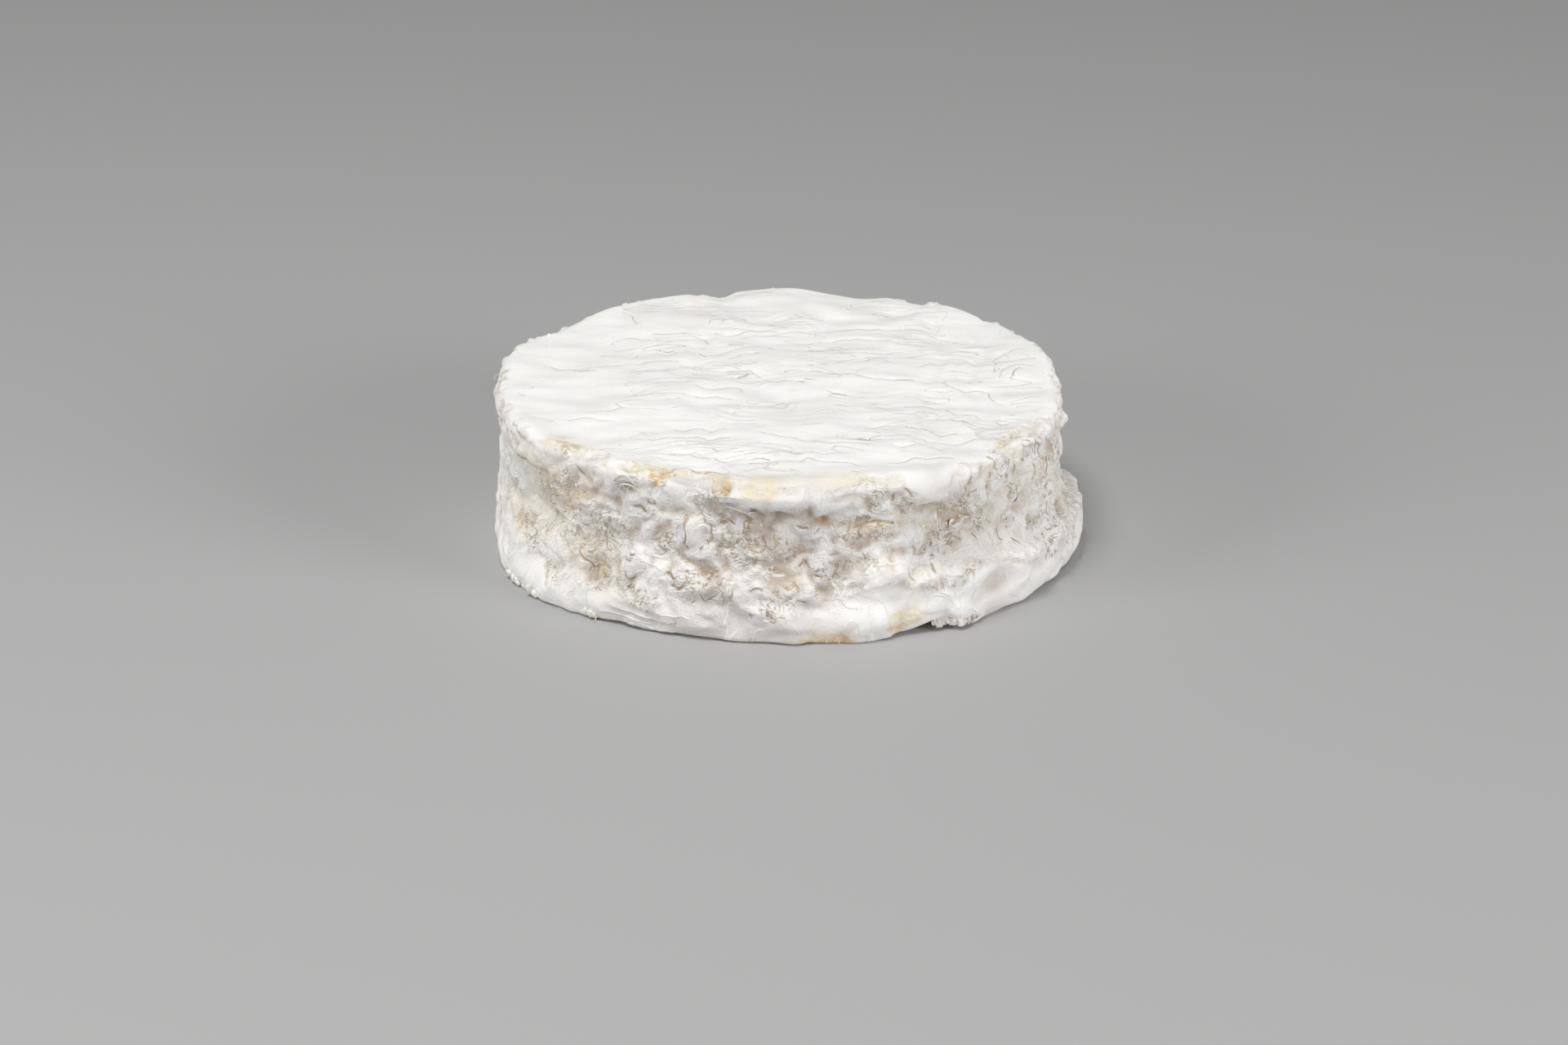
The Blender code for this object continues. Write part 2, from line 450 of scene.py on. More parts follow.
@dataclass
class Drum:
    """The plain drum under the rind, and where its points move to take the cheese's form.

    A pair of a wave, lump or stray holds its width and its reach. A fold holds its place, half-width and
    depth. The lift holds the bearings where the edge of the base starts to rise, is highest and lies down.
    """

    radius: float = 68.0 * MM
    height: float = 39.0 * MM
    rim_round: float = 3.4 * MM
    foot_round: float = 0.6 * MM
    flat_base_radius: float = 56.0 * MM
    axis: tuple[float, float] = (-2.34 * MM, -0.12 * MM)
    cells: int = 184
    rows: int = 82
    base_inset: float = 0.15
    edge_height: float = 6.0 * MM
    lump_squat: float = 0.8
    lumps: Rows = in_mm((15, 1.1), (7.5, 0.8), (4.6, 0.5))
    lift: tuple[float, float, float] = (18.0, 33.0, 36.0)
    lift_rise: float = 2.6 * MM
    gaps: tuple[Lobe, ...] = lobes(
        (-20, 22, 0, 0.55), (-31, 5, 0, 0.3), (2, 9, 0, 0.3), (70, 16, 0, 0.4), (150, 20, 0, 0.4),
        (235, 24, 0, 0.5),
    )
    flap: Lobe = Lobe(39.0, 5.0, 2.0 * MM)
    ripple_pitch: float = 6.2 * MM
    ripple_height: float = 0.04 * MM
    ripple_patch: float = 30.0 * MM
    ripple_stray: Rows = in_mm((30, 9), (12, 3))
    top_waves: Rows = in_mm((32, 1.6), (12, 0.8))
    fold_stray: tuple[float, float] = (20.0 * MM, 7.0 * MM)
    top_folds: Rows = in_mm((-18, 3.5, 0.4), (36, 4, 0.5), (49, 3.5, 0.4))
    profile: Rows = in_mm((0, 1.4), (4, 1.9), (10, 1), (20, -1.1), (29, -0.7), (36, 0.2))
    broad_forms: tuple[Form, ...] = forms(
        (84, 4, 62, 13, 1.8), (84, 33, 45, 16, -0.3), (84, 18, 26, 14, 1.6), (138, 30, 40, 26, 2.3),
        (184, 30, 34, 24, 0.6), (-98, 4, 40, 14, -1.4), (-55, 1.5, 25, 9, 2.2), (-90, 29, 45, 12, 0.2),
        (17, 1.5, 9, 9, 1.5),
    )
    small_forms: tuple[Form, ...] = forms(
        (-2, 29, 14, 5.5, -2.2), (-1, 35.8, 13, 4, 1.2), (-17, 25.5, 2.6, 7.5, 1.9),
        (-14, 17, 4, 4.5, -1.5), (-12, 9.5, 5, 4, -1.4), (5, 23.5, 4, 5, -1.4), (10, 13, 5, 6, -1.3),
        (16, 6, 9, 5.5, 1.2), (22, 17, 4, 5, 1.7), (28, 15.5, 3.5, 3.5, -1.4), (31, 35, 9, 6, 1),
        (30, 28, 7, 5, -1.5), (45, 23, 9, 5, -1.2), (46, 8, 6, 4, -1.8), (55, 11, 5, 4.5, 1.3),
        (-46, 27, 3, 8, -1.5), (-38, 12, 6, 4.5, -1.5), (-58, 32, 8, 4, 0.9), (-62, 8, 11, 6, 1),
        (2, 4, 5, 4, 1), (-8, 5.5, 3.5, 4.5, -1), (-27, 8, 7, 4, 0.9), (28, 9, 4, 4, -0.9),
        (36, 4, 3.5, 3.6, 1.2), (64, 27, 4, 4.5, 1.4), (70, 20.5, 4, 3.6, 1.8), (57, 22.5, 4, 4, -1.4),
        (63, 16.5, 4, 3, -1.8), (76, 14, 3.6, 3.2, -1.6), (74, 31, 4, 4, -1.3), (82, 24, 4, 4, -1.4),
        (84, 33.5, 4, 3.5, 1.1), (59, 34, 4, 3, -1.1), (58, 12, 4, 3, 1.3), (5.8, 30.4, 2.4, 2.2, 0.9),
        (38, 11, 4, 4.5, 0.9),
    )
    ledges: tuple[Ledge, ...] = (
        Ledge(
            (
                (10, 12), (20, 19), (28, 14.5), (43, 14.5), (60, 13.5), (75, 12.5), (90, 12.5), (110, 11.5),
                (130, 9),
            ),
            (
                (6, 0), (20, 1.4), (28, 1.8), (45, 2), (60, 1.6), (75, 2), (84, 3.6), (90, 3.8), (98, 2.8),
                (108, 1), (118, 0),
            ),
            soft=2.8, sunk=0.22, above=False,
        ),
        Ledge(
            (
                (-14, 34.4), (-11.5, 33.2), (-9, 33.6), (-7, 32), (-4, 32.4), (-2, 31), (0.5, 31.8),
                (3, 31.2), (6, 31.4), (9, 30.8), (12, 32), (14, 31.8), (17, 33), (20, 33.5),
            ),
            ((-14, 0), (-10, 0.8), (-4, 1.3), (4, 1.2), (9, 0.9), (14, 0.5), (21, 0)),
            soft=2.8, sunk=0.5, above=True,
        ),
        Ledge(
            ((-7, 8), (-2, 8.8), (4, 8.2), (11, 7)),
            ((-7, 0), (-2, 1.3), (5, 1.5), (11, 0)),
            soft=2.2, sunk=0.4, above=False,
        ),
        Ledge(
            ((-50, 9.5), (-40, 8.4), (-32, 7.8), (-25, 6)),
            ((-50, 0), (-43, 1.1), (-33, 1.3), (-25, 0)),
            soft=2.2, sunk=0.4, above=False,
        ),
        Ledge(
            ((22, 34.5), (28, 32.6), (34, 32), (40, 33.5)),
            ((21, 0), (26, 0.7), (36, 0.8), (41, 0)),
            soft=3.2, sunk=0.5, above=True,
        ),
        Ledge(
            ((-75, 30), (-65, 32), (-56, 31), (-48, 29)),
            ((-78, 0), (-65, 0.8), (-52, 0.9), (-46, 0)),
            soft=1.5, sunk=0.5, above=True,
        ),
    )
    rim_lobes: tuple[Lobe, ...] = lobes(
        (-60, 14, 0.8, 0.3), (-42, 10, -1, -0.6), (-25, 6, -1.2, -1), (-17, 8, -1.6, -0.6), (0, 17, 1, 0.4),
        (31, 14, 1.2, 0.6), (52, 11, -0.9, -0.5), (88, 9, -0.7, -0.3), (116, 18, 0.9, 0.3),
        (134, 16, 1.9, 0.4), (151, 7, -1.2, -0.6), (162, 7, -0.6, -0.2), (178, 15, 1.2, 0.4),
        (194, 4.5, -1.5, -0.9), (213, 17, 1.3, 0.4), (236, 8, -0.7, -0.2), (252, 16, 1.5, 0.5),
    )

    @property
    def section_length(self) -> float:
        """The length of the wall's section, from the top's edge round the rim and the foot to the base."""
        straight = self.height - self.rim_round - self.foot_round
        return 0.5 * math.pi * (self.rim_round + self.foot_round) + straight

    def make_mesh(self, name: str) -> bpy.types.Object:
        """Makes a closed drum of quads: a grid, its edge drawn down and cut into rows, and a flat base.

        Args:
            name: the object's name.

        Returns:
            The object. Its points still lie on a square block, in rows that place() moves.
        """
        drum = add_grid(self.cells, self.cells)
        drum.name = drum.data.name = name
        bpy.ops.object.mode_set(mode="EDIT")
        bpy.ops.mesh.select_mode(type="EDGE")
        bpy.ops.mesh.select_all(action="DESELECT")
        others = {f"use_{kind}": False for kind in ("wire", "multi_face", "non_contiguous", "verts")}
        bpy.ops.mesh.select_non_manifold(extend=False, use_boundary=True, **others)
        bpy.ops.mesh.extrude_region_move(TRANSFORM_OT_translate={"value": (0.0, 0.0, -1.0)})
        bpy.ops.mesh.edge_face_add()
        edit = bmesh.from_edit_mesh(drum.data)
        for part in (*edit.verts, *edit.edges, *edit.faces):
            part.select = False
        for edge in edit.edges:
            if abs(edge.verts[0].co.z - edge.verts[1].co.z) > 0.5:
                edge.select = True
        bmesh.update_edit_mesh(drum.data)
        bpy.ops.mesh.subdivide(number_cuts=self.rows - 1)
        bpy.ops.mesh.select_all(action="DESELECT")
        bpy.ops.mesh.select_mode(type="FACE")
        edit = bmesh.from_edit_mesh(drum.data)
        base = max(edit.faces, key=lambda face: len(face.verts))
        base.select = True
        bmesh.update_edit_mesh(drum.data)
        bpy.ops.mesh.inset(thickness=self.base_inset)
        bpy.ops.object.mode_set(mode="OBJECT")
        return drum

    def _place_rows(self, points: Array) -> tuple[Array, Array]:
        """Moves the block's rows to the plain drum: rings for the top, then the section of the wall.

        Args:
            points: the mesh's points, a unit block as make_mesh leaves it.

        Returns:
            The points on the plain drum, and how far each lies down the section from the top's edge, which is
            below 0 on the top.
        """
        x, y = points[:, 0], points[:, 1]
        swap = np.abs(y) > np.abs(x)
        along, across = np.where(swap, y, x), np.where(swap, x, y)
        angle = 0.25 * math.pi * across / np.where(along == 0.0, 1.0, along)
        rounding = along * along
        along, across = (
            along + (along * np.cos(angle) - along) * rounding,
            across + (along * np.sin(angle) - across) * rounding,
        )
        flat = np.stack((np.where(swap, across, along), np.where(swap, along, across)), axis=1)
        ring = np.hypot(flat[:, 0], flat[:, 1])

        down = -points[:, 2] * self.section_length
        rim_arc, foot_arc = 0.5 * math.pi * self.rim_round, 0.5 * math.pi * self.foot_round
        straight = self.section_length - rim_arc - foot_arc
        rim_turn = np.clip(down / self.rim_round, 0.0, 0.5 * math.pi)
        foot_turn = np.clip((down - rim_arc - straight) / self.foot_round, 0.0, 0.5 * math.pi)
        reach = self.radius - self.rim_round * (1.0 - np.sin(rim_turn))
        reach -= self.foot_round * (1.0 - np.cos(foot_turn))
        height = self.height - self.rim_round * (1.0 - np.cos(rim_turn))
        height -= np.clip(down - rim_arc, 0.0, straight)
        height -= self.foot_round * np.sin(foot_turn)
        on_top = points[:, 2] > -1.0e-6
        in_base = (points[:, 2] < -0.999) & (np.abs(points[:, :2]).max(axis=1) < 1.0 - 0.5 * self.base_inset)
        reach = np.where(in_base, self.flat_base_radius, reach)
        flat *= np.where(on_top, self.radius - self.rim_round, reach / np.maximum(ring, 1.0e-9))[:, None]
        placed = np.column_stack((flat, np.maximum(height, 0.0)))
        return placed, np.where(on_top, (ring - 1.0) * (self.radius - self.rim_round), down)

    def _profile_out(self, height: Array) -> Array:
        """Reads the wall's own profile.

        Args:
            height: the height of each point.

        Returns:
            How far the profile stands out there.
        """
        out = np.full(height.shape, self.profile[-1][1])
        for (low, a), (high, b) in reversed(tuple(zip(self.profile, self.profile[1:]))):
            out = np.where(height <= high, a + (b - a) * smooth((height - low) / (high - low)), out)
        return out

    def _top_relief(self, points: Array) -> Array:
        """Makes the top's slow waves, folds and the mat's ripples.

        Args:
            points: the points of the plain drum.

        Returns:
            How far the top stands over its level at each.
        """
        flat = points * (1.0, 1.0, 0.0)
        up = sum(rise * wavy(flat, size, 3.0 + i) for i, (size, rise) in enumerate(self.top_waves))
        bend, shift = self.fold_stray
        across = flat[:, 0] + shift * wavy(flat, bend, 8.0)
        up -= sum(depth * bell(across - at, width) for at, width, depth in self.top_folds)
        stray = sum(shift * wavy(flat, size, 6.0 + i) for i, (size, shift) in enumerate(self.ripple_stray))
        strength = 0.75 + 0.6 * wavy(flat, self.ripple_patch, 9.0)
        ripples = np.sin(math.tau * (flat[:, 1] + stray) / self.ripple_pitch)
        return up + self.ripple_height * strength * ripples

    def _lumps(self, points: Array) -> Array:
        """Makes the wall's lumps, which fade towards the rim and the foot.

        Args:
            points: the points of the plain drum.

        Returns:
            How far the lumps stand out at each.
        """
        squat = points * (self.lump_squat, self.lump_squat, 1.0)
        strength = 0.3 + 0.7 * bell(points[:, 2] - 0.5 * self.height, 0.55 * self.height)
        return strength * sum(out * wavy(squat, size, i) for i, (size, out) in enumerate(self.lumps))

    def _base_lift(self, bearing: Array) -> Array:
        """Lifts the torn edge of the base.

        Args:
            bearing: the bearing of each point.

        Returns:
            How far the edge stands there over what the cheese rests on.
        """
        start, end, drop = self.lift
        rise = smooth(turn(bearing, start) / (end - start))
        fall = 1.0 - smooth(turn(bearing, end) / (drop - end))
        gap = sum(lobe.up * lobe.share(bearing) for lobe in self.gaps)
        return gap + self.lift_rise * np.where(turn(bearing, end) < 0.0, rise, fall)

    def place(self, points: Array) -> tuple[Array, Array, Array, Array]:
        """Moves the block's points to the cheese's form.

        Args:
            points: the mesh's points, a unit block as make_mesh leaves it.

        Returns:
            The points of the cheese, then for each its bearing, how far it lies down the section from the
            top's edge, and how far lumps, small forms and ledges sink or lift the wall there.
        """
        plain, down = self._place_rows(points)
        reach = np.hypot(plain[:, 0], plain[:, 1])
        height = plain[:, 2]
        bearing = np.degrees(np.arctan2(plain[:, 0], -plain[:, 1]))
        outward = directions(bearing)

        by_edge = smooth(reach / self.radius)
        by_rim = smooth((height / self.height - 0.4) / 0.6)
        on_wall = smooth((reach - self.radius + self.rim_round) / self.rim_round)
        on_wall *= smooth(height / self.foot_round)
        on_top = smooth((height - self.height + self.rim_round) / self.rim_round)
        on_edge = bell(height, self.edge_height)
        on_edge *= smooth((reach - self.flat_base_radius) / (self.radius - self.flat_base_radius))

        lobe_out = reach_out(self.rim_lobes, bearing)
        lobe_up = sum(lobe.up * lobe.share(bearing) for lobe in self.rim_lobes)
        small = total((*self.small_forms, *self.ledges), bearing, height)
        broad = self._profile_out(height) + total(self.broad_forms, bearing, height)
        out = by_edge * (broad + lobe_out * by_rim)
        sunk = on_wall * (small + self._lumps(plain))
        out += sunk + on_edge * self.flap.out * self.flap.share(bearing)
        up = on_top * (self._top_relief(plain) + lobe_up * by_edge**4) + on_edge * self._base_lift(bearing)
        placed = plain + outward * out[:, None]
        placed[:, 2] += up
        return placed, bearing, down, sunk


@dataclass(frozen=True)
class Line:
    """Thin broken lines along one level of a field.

    Args:
        level: the level.
        width: half their width, in the field's own measure.
        breaks: the size of their breaks.
        share: the share of them that is kept.
    """

    level: float
    width: float
    breaks: float
    share: float


class Graph:
    """Adds nodes to a shader tree and links them in the order they are read."""

    def __init__(self, tree: bpy.types.NodeTree) -> None:
        """Starts on a tree.

        Args:
            tree: a material's tree or a node group.
        """
        self.tree = tree

    def add(self, kind: str, inputs: dict | None = None, **settings: object) -> bpy.types.Node:
        """Adds one node.

        Args:
            kind: the node's type.
            inputs: for each input, by name or place, a value or the output that feeds it.
            settings: properties of the node.

        Returns:
            The node.
        """
        node = self.tree.nodes.new(kind)
        for name, value in settings.items():
            setattr(node, name, value)
        for name, value in (inputs or {}).items():
            if isinstance(value, Socket):
                self.tree.links.new(value, node.inputs[name])
            else:
                node.inputs[name].default_value = value
        return node

    def math(self, operation: str, *values: object) -> Socket:
        """The result of one sum on values and outputs."""
        return self.add("ShaderNodeMath", dict(enumerate(values)), operation=operation).outputs[0]

    def times(self, first: object, second: object) -> Socket:
        """One value or output times another."""
        return self.math("MULTIPLY", first, second)

    def less(self, first: object, second: object) -> Socket:
        """One value or output less another."""
        return self.math("SUBTRACT", first, second)

    def most(self, *values: object) -> Socket:
        """The largest of several values and outputs at each point."""
        return reduce(lambda first, second: self.math("MAXIMUM", first, second), values)

    def span(
        self, value: object, low: float, high: float, to_low: float = 0.0, to_high: float = 1.0
    ) -> Socket:
        """A value carried smoothly from one span to another, and held at its ends."""
        inputs = {"Value": value, 1: low, 2: high, 3: to_low, 4: to_high}
        return self.add("ShaderNodeMapRange", inputs, interpolation_type="SMOOTHSTEP").outputs[0]

    def mix(self, share: object, under: object, over: object) -> Socket:
        """One colour laid over another by a share."""
        inputs = {COLOUR_SHARE: share, COLOUR_UNDER: under, COLOUR_OVER: over}
        return self.add("ShaderNodeMix", inputs, data_type="RGBA").outputs[COLOUR_MIXED]

    def noise(self, vector: object, size: float, detail: float = 2.0, rough: float = 0.5) -> Socket:
        """Cloudy noise whose clouds are about as wide as size."""
        inputs = {"Vector": vector, "Scale": 1.0 / size, "Detail": detail, "Roughness": rough}
        return self.add("ShaderNodeTexNoise", inputs).outputs["Fac"]

    def place(self, tree: bpy.types.NodeTree, inputs: dict) -> Socket:
        """Places a shared group with its own values, and returns what it puts out."""
        return self.add("ShaderNodeGroup", inputs, node_tree=tree).outputs[0]

    def threads(self, shared: Finishes, place: Socket, field: Socket, line: Line) -> Socket:
        """How much there is at each point of thin lines along one level of a field."""
        sizes = {"Level": line.level, "Width": line.width, "Break Size": line.breaks, "Share": line.share}
        return self.place(shared.threads, {"Vector": place, "Field": field, **sizes})

    def mask(self, mask: Mask) -> Socket:
        """A mask stored on the mesh."""
        return self.add("ShaderNodeAttribute", attribute_name=mask.value).outputs["Fac"]


class Group(Graph):
    """A shader node group with named inputs and one output, and the graph inside it."""

    def __init__(self, name: str, inputs: dict[str, str], output: str, kind: str) -> None:
        """Starts the group.

        Args:
            name: the group's name.
            inputs: its inputs and their socket types.
            output: its output.
            kind: the output's socket type.
        """
        super().__init__(bpy.data.node_groups.new(name, "ShaderNodeTree"))
        for socket, socket_type in inputs.items():
            self.tree.interface.new_socket(socket, in_out="INPUT", socket_type=socket_type)
        self.tree.interface.new_socket(output, in_out="OUTPUT", socket_type=kind)
        self.given = self.add("NodeGroupInput").outputs
        self.out = self.add("NodeGroupOutput").inputs[output]

    def clouds(self, size: str, **inputs: float) -> Socket:
        """Cloudy noise on the group's Vector, whose clouds are as wide as one of its inputs says."""
        inputs.update(Vector=self.given["Vector"], Scale=self.math("DIVIDE", 1.0, self.given[size]))
        return self.add("ShaderNodeTexNoise", inputs).outputs["Fac"]

    def close(self, result: Socket) -> bpy.types.NodeTree:
        """Links the result to the group's output, and returns the group's tree."""
        self.tree.links.new(result, self.out)
        return self.tree


def thread_group() -> bpy.types.NodeTree:
    """Builds thin broken lines along one level of a field: brown mould threads, and painted shadow and
    highlight lines.

    Returns:
        The group's tree.
    """
    fullness, break_edge = 0.6, 12.0
    inputs = dict.fromkeys(("Field", "Level", "Width", "Break Size", "Share"), FLOAT)
    graph = Group("threads", {"Vector": VECTOR, **inputs}, "Line", FLOAT)
    away = graph.math("ABSOLUTE", graph.less(graph.given["Field"], graph.given["Level"]))
    line = graph.most(graph.less(1.0, graph.math("DIVIDE", away, graph.given["Width"])), 0.0)
    kept = graph.less(graph.given["Share"], graph.clouds("Break Size", Detail=1.0))
    kept = graph.math("MINIMUM", graph.times(graph.most(kept, 0.0), break_edge), 1.0)
    return graph.close(graph.times(graph.math("POWER", line, fullness), kept))


def mottle_group() -> bpy.types.NodeTree:
    """Builds a colour that drifts a little towards another in soft clouds.

    Returns:
        The group's tree.
    """
    inputs = {"Vector": VECTOR, "Colour": COLOUR, "Drift": COLOUR, "Size": FLOAT, "Amount": FLOAT}
    graph = Group("mottle", inputs, "Colour", COLOUR)
    share = graph.span(graph.clouds("Size", Detail=4.0, Roughness=0.6), 0.42, 0.72)
    share = graph.times(share, graph.given["Amount"])
    return graph.close(graph.mix(share, graph.given["Colour"], graph.given["Drift"]))


def dots_group() -> bpy.types.NodeTree:
    """Builds small scattered dots: one to a cell, in a share of the cells.

    Returns:
        The group's tree.
    """
    edge = 1.5
    inputs = {"Vector": VECTOR, "Cell Size": FLOAT, "Dot Size": FLOAT, "Share": FLOAT}
    graph = Group("dots", inputs, "Dots", FLOAT)
    cell = graph.given["Cell Size"]
    inputs = {"Vector": graph.given["Vector"], "Scale": graph.math("DIVIDE", 1.0, cell)}
    cells = graph.add("ShaderNodeTexVoronoi", inputs)
    away = graph.times(cells.outputs["Distance"], cell)
    dot = graph.most(graph.less(edge, graph.math("DIVIDE", away, graph.given["Dot Size"])), 0.0)
    drawn = graph.add("ShaderNodeSeparateColor", {"Color": cells.outputs["Color"]}).outputs[0]
    kept = graph.math("LESS_THAN", drawn, graph.given["Share"])
    return graph.close(graph.times(graph.math("MINIMUM", dot, 1.0), kept))


def fuzz_group() -> bpy.types.NodeTree:
    """Builds the height of a matted mould bloom: fine fuzz over soft tufts.

    Returns:
        The group's tree.
    """
    fuzz_height = 0.35
    inputs = {"Vector": VECTOR, "Fuzz Size": FLOAT, "Tuft Size": FLOAT}
    graph = Group("bloom fuzz", inputs, "Height", FLOAT)
    fuzz = graph.times(graph.clouds("Fuzz Size", Detail=3.0, Roughness=0.6), fuzz_height)
    return graph.close(graph.math("ADD", fuzz, graph.clouds("Tuft Size", Detail=2.0, Roughness=0.6)))


@dataclass(frozen=True)
class Finishes:
    """The node groups that the cheese's finishes share."""

    threads: bpy.types.NodeTree
    dots: bpy.types.NodeTree
    mottle: bpy.types.NodeTree
    fuzz: bpy.types.NodeTree

    @classmethod
    def make(cls) -> Finishes:
        """Builds each group once."""
        return cls(thread_group(), dots_group(), mottle_group(), fuzz_group())


class Skin:
    """A material begun: its graph, its shader and where each point lies."""

    def __init__(self, name: str) -> None:
        """Starts a material.

        Args:
            name: its name.
        """
        self.material = bpy.data.materials.new(name)
        self.material.use_nodes = True
        self.graph = Graph(self.material.node_tree)
        self.shader = self.material.node_tree.nodes["Principled BSDF"]
        self.place = self.graph.add("ShaderNodeTexCoord").outputs["Object"]

    def dress(
        self, colour: Socket, height: Socket, bump: tuple[float, float], **values: object
    ) -> bpy.types.Material:
        """Feeds the shader.

        Args:
            colour: the base colour.
            height: the height of the finest relief.
            bump: how strongly that shows, and how high it stands.
            values: the shader's other inputs by name, with _ for a space.

        Returns:
            The material.
        """
        strength, distance = bump
        inputs = {"Height": height, "Strength": strength, "Distance": distance}
        relief = self.graph.add("ShaderNodeBump", inputs)
        self.graph.tree.links.new(colour, self.shader.inputs["Base Color"])
        self.graph.tree.links.new(relief.outputs["Normal"], self.shader.inputs["Normal"])
        for name, value in values.items():
            self.shader.inputs[name.replace("_", " ")].default_value = value
        return self.material


FLESH = (1.0, 0.8, 0.6)  # how far red, green and blue light spread in curd, against one another


@dataclass(frozen=True)
class RindFinish:
    """The white bloom of the rind, with the colours that show through it in the wall, painted shade in its
    hollows and creases, and painted highlights on its crests and ridges.
    """

    bloom: Colour = (0.90, 0.89, 0.87, 1.0)
    bloom_drift: Colour = (0.84, 0.81, 0.76, 1.0)
    wall: Colour = (0.765, 0.73, 0.68, 1.0)
    # The hollows' darker beige: partly their own tint, partly painted shade.
    hollow: Colour = (0.48, 0.385, 0.29, 1.0)
    # The crests' whiter colour, a painted highlight.
    crest: Colour = (0.83, 0.825, 0.81, 1.0)
    # The grey of painted shade.
    painted_shade: Colour = (0.56, 0.52, 0.49, 1.0)
    cream: Colour = (0.765, 0.68, 0.485, 1.0)
    tan: Colour = (0.60, 0.46, 0.27, 1.0)
    ochre: Colour = (0.62, 0.435, 0.225, 1.0)
    rust: Colour = (0.42, 0.27, 0.17, 1.0)
    thread: Colour = (0.35, 0.26, 0.155, 1.0)
    worm: Colour = (0.57, 0.455, 0.30, 1.0)
    # Grey painted shade along the top's creases.
    seam: Colour = (0.66, 0.63, 0.58, 1.0)
    # Worm lines, kept to the ridges' lower sides: brown, and partly painted shadow.
    worm_line: Line = Line(-0.15, 0.13, 2.6 * MM, 0.52)
    dash: Line = Line(0.5, 0.07, 1.5 * MM, 0.48)
    glint: Line = Line(0.57, 0.04, 2.2 * MM, 0.5)
    # Dark lines along the grooves and stains: brown, some of them painted shadow.
    groove_line: Line = Line(0.0, 0.34, 2.5 * MM, 0.8)
    # A painted highlight beside each groove's dark line, as on a lit lip.
    groove_rim: Line = Line(0.5, 0.2, 2.0 * MM, 0.58)
    # Painted highlight lines along the traced ridges.
    ridge_highlight: Line = Line(0.0, 0.28, 4.0 * MM, 0.8)
    # Painted highlight lines along the web's ridges.
    crease_highlight: Line = Line(0.0, 0.14, 5.0 * MM, 0.52)
    rib_line: Line = Line(0.0, 0.13, 6.0 * MM, 0.58)
    ripple_line: Line = Line(0.0, 0.15, 4.0 * MM, 0.56)
    seam_line: Line = Line(0.0, 0.2, 4.0 * MM, 0.66)
    curl_size: float = 2.4 * MM
    speckle_size: float = 1.4 * MM
    tone_size: float = 5 * MM
    stain_size: float = 2.5 * MM
    rib_stretch: float = 0.22
    roughness: float = 0.7

    def _ground(self, skin: Skin, shared: Finishes, bare: Socket) -> Socket:
        """Lays the colours of the bloom and of the patches in the wall over one another.

        Args:
            skin: the material.
            shared: the groups that it places.
            bare: how bare of bloom each point is.

        Returns:
            The colour under the fine lines.
        """
        graph = skin.graph
        drift = {"Drift": self.bloom_drift, "Size": 9 * MM, "Amount": 0.3}
        bloom = graph.place(shared.mottle, {"Vector": skin.place, "Colour": self.bloom, **drift})
        colour = graph.mix(graph.times(bare, 0.55), bloom, self.wall)
        # Painted light: the hollows darker beige, partly their own tint and partly painted shade; grey painted
        # shade where shadow falls; the crests whiter, a painted highlight.
        for mask, tint, strength in (
            (Mask.LOW, self.hollow, 0.85),
            (Mask.ASH, self.painted_shade, 0.65),
            (Mask.CREST, self.crest, 0.7),
        ):
            colour = graph.mix(graph.times(graph.mask(mask), strength), colour, tint)
        speckle = graph.span(graph.noise(skin.place, self.speckle_size, 3.0, 0.65), 0.35, 0.6)
        for mask, tint, strength, least in (
            (Mask.CREAM, self.cream, 0.9, 0.35),
            (Mask.TAN, self.tan, 0.8, 0.35),
            (Mask.OCHRE, self.ochre, 0.9, 0.5),
            (Mask.RUST, self.rust, 0.9, 0.6),
        ):
            share = graph.times(graph.mask(mask), graph.span(speckle, 0.0, 1.0, least, 1.0))
            colour = graph.mix(graph.times(share, strength), colour, tint)
        return colour

    def make(self, name: str, shared: Finishes) -> bpy.types.Material:
        """Builds the material.

        Args:
            name: the material's name.
            shared: the groups that it places.

        Returns:
            The material.
        """
        skin = Skin(name)
        graph, place = skin.graph, skin.place

        def lines(field: Mask | Socket, line: Line, at: Socket = place) -> Socket:
            """Thin lines along one level of a field or a stored mask."""
            return graph.threads(shared, at, graph.mask(field) if isinstance(field, Mask) else field, line)

        cover, curly = graph.mask(Mask.SKIN), graph.mask(Mask.CURLY)
        bare = graph.less(1.0, cover)
        colour = self._ground(skin, shared, bare)

        inputs = {"Vector": place, "Scale": 1.0 / self.curl_size, "Detail": 1.0, "Distortion": 1.2}
        curls = graph.add("ShaderNodeTexNoise", inputs).outputs["Fac"]
        inputs = {"Vector": place, "Cell Size": 1.3 * MM, "Dot Size": 0.26 * MM, "Share": 0.2}
        dots = graph.times(graph.place(shared.dots, inputs), graph.span(curly, 0.0, 0.8, 0.25, 1.0))
        # Dark lines and dots in brown tones: mould marks, and painted shadow where the worm lines keep to the
        # ridges' lower sides and some grooves follow shade.
        dark_lines = graph.most(
            graph.times(lines(Mask.WORM, self.worm_line), graph.span(graph.mask(Mask.UNDER), 0.1, 0.9)),
            graph.times(lines(curls, self.dash), graph.span(curly, 0.1, 0.7, 0.0, 0.85)),
            lines(Mask.GROOVE, self.groove_line),
            graph.times(dots, bare),
        )
        tone = graph.mix(graph.span(graph.noise(place, self.tone_size), 0.4, 0.6), self.thread, self.worm)
        colour = graph.mix(graph.times(dark_lines, graph.span(cover, 0.0, 1.0, 1.0, 0.6)), colour, tone)

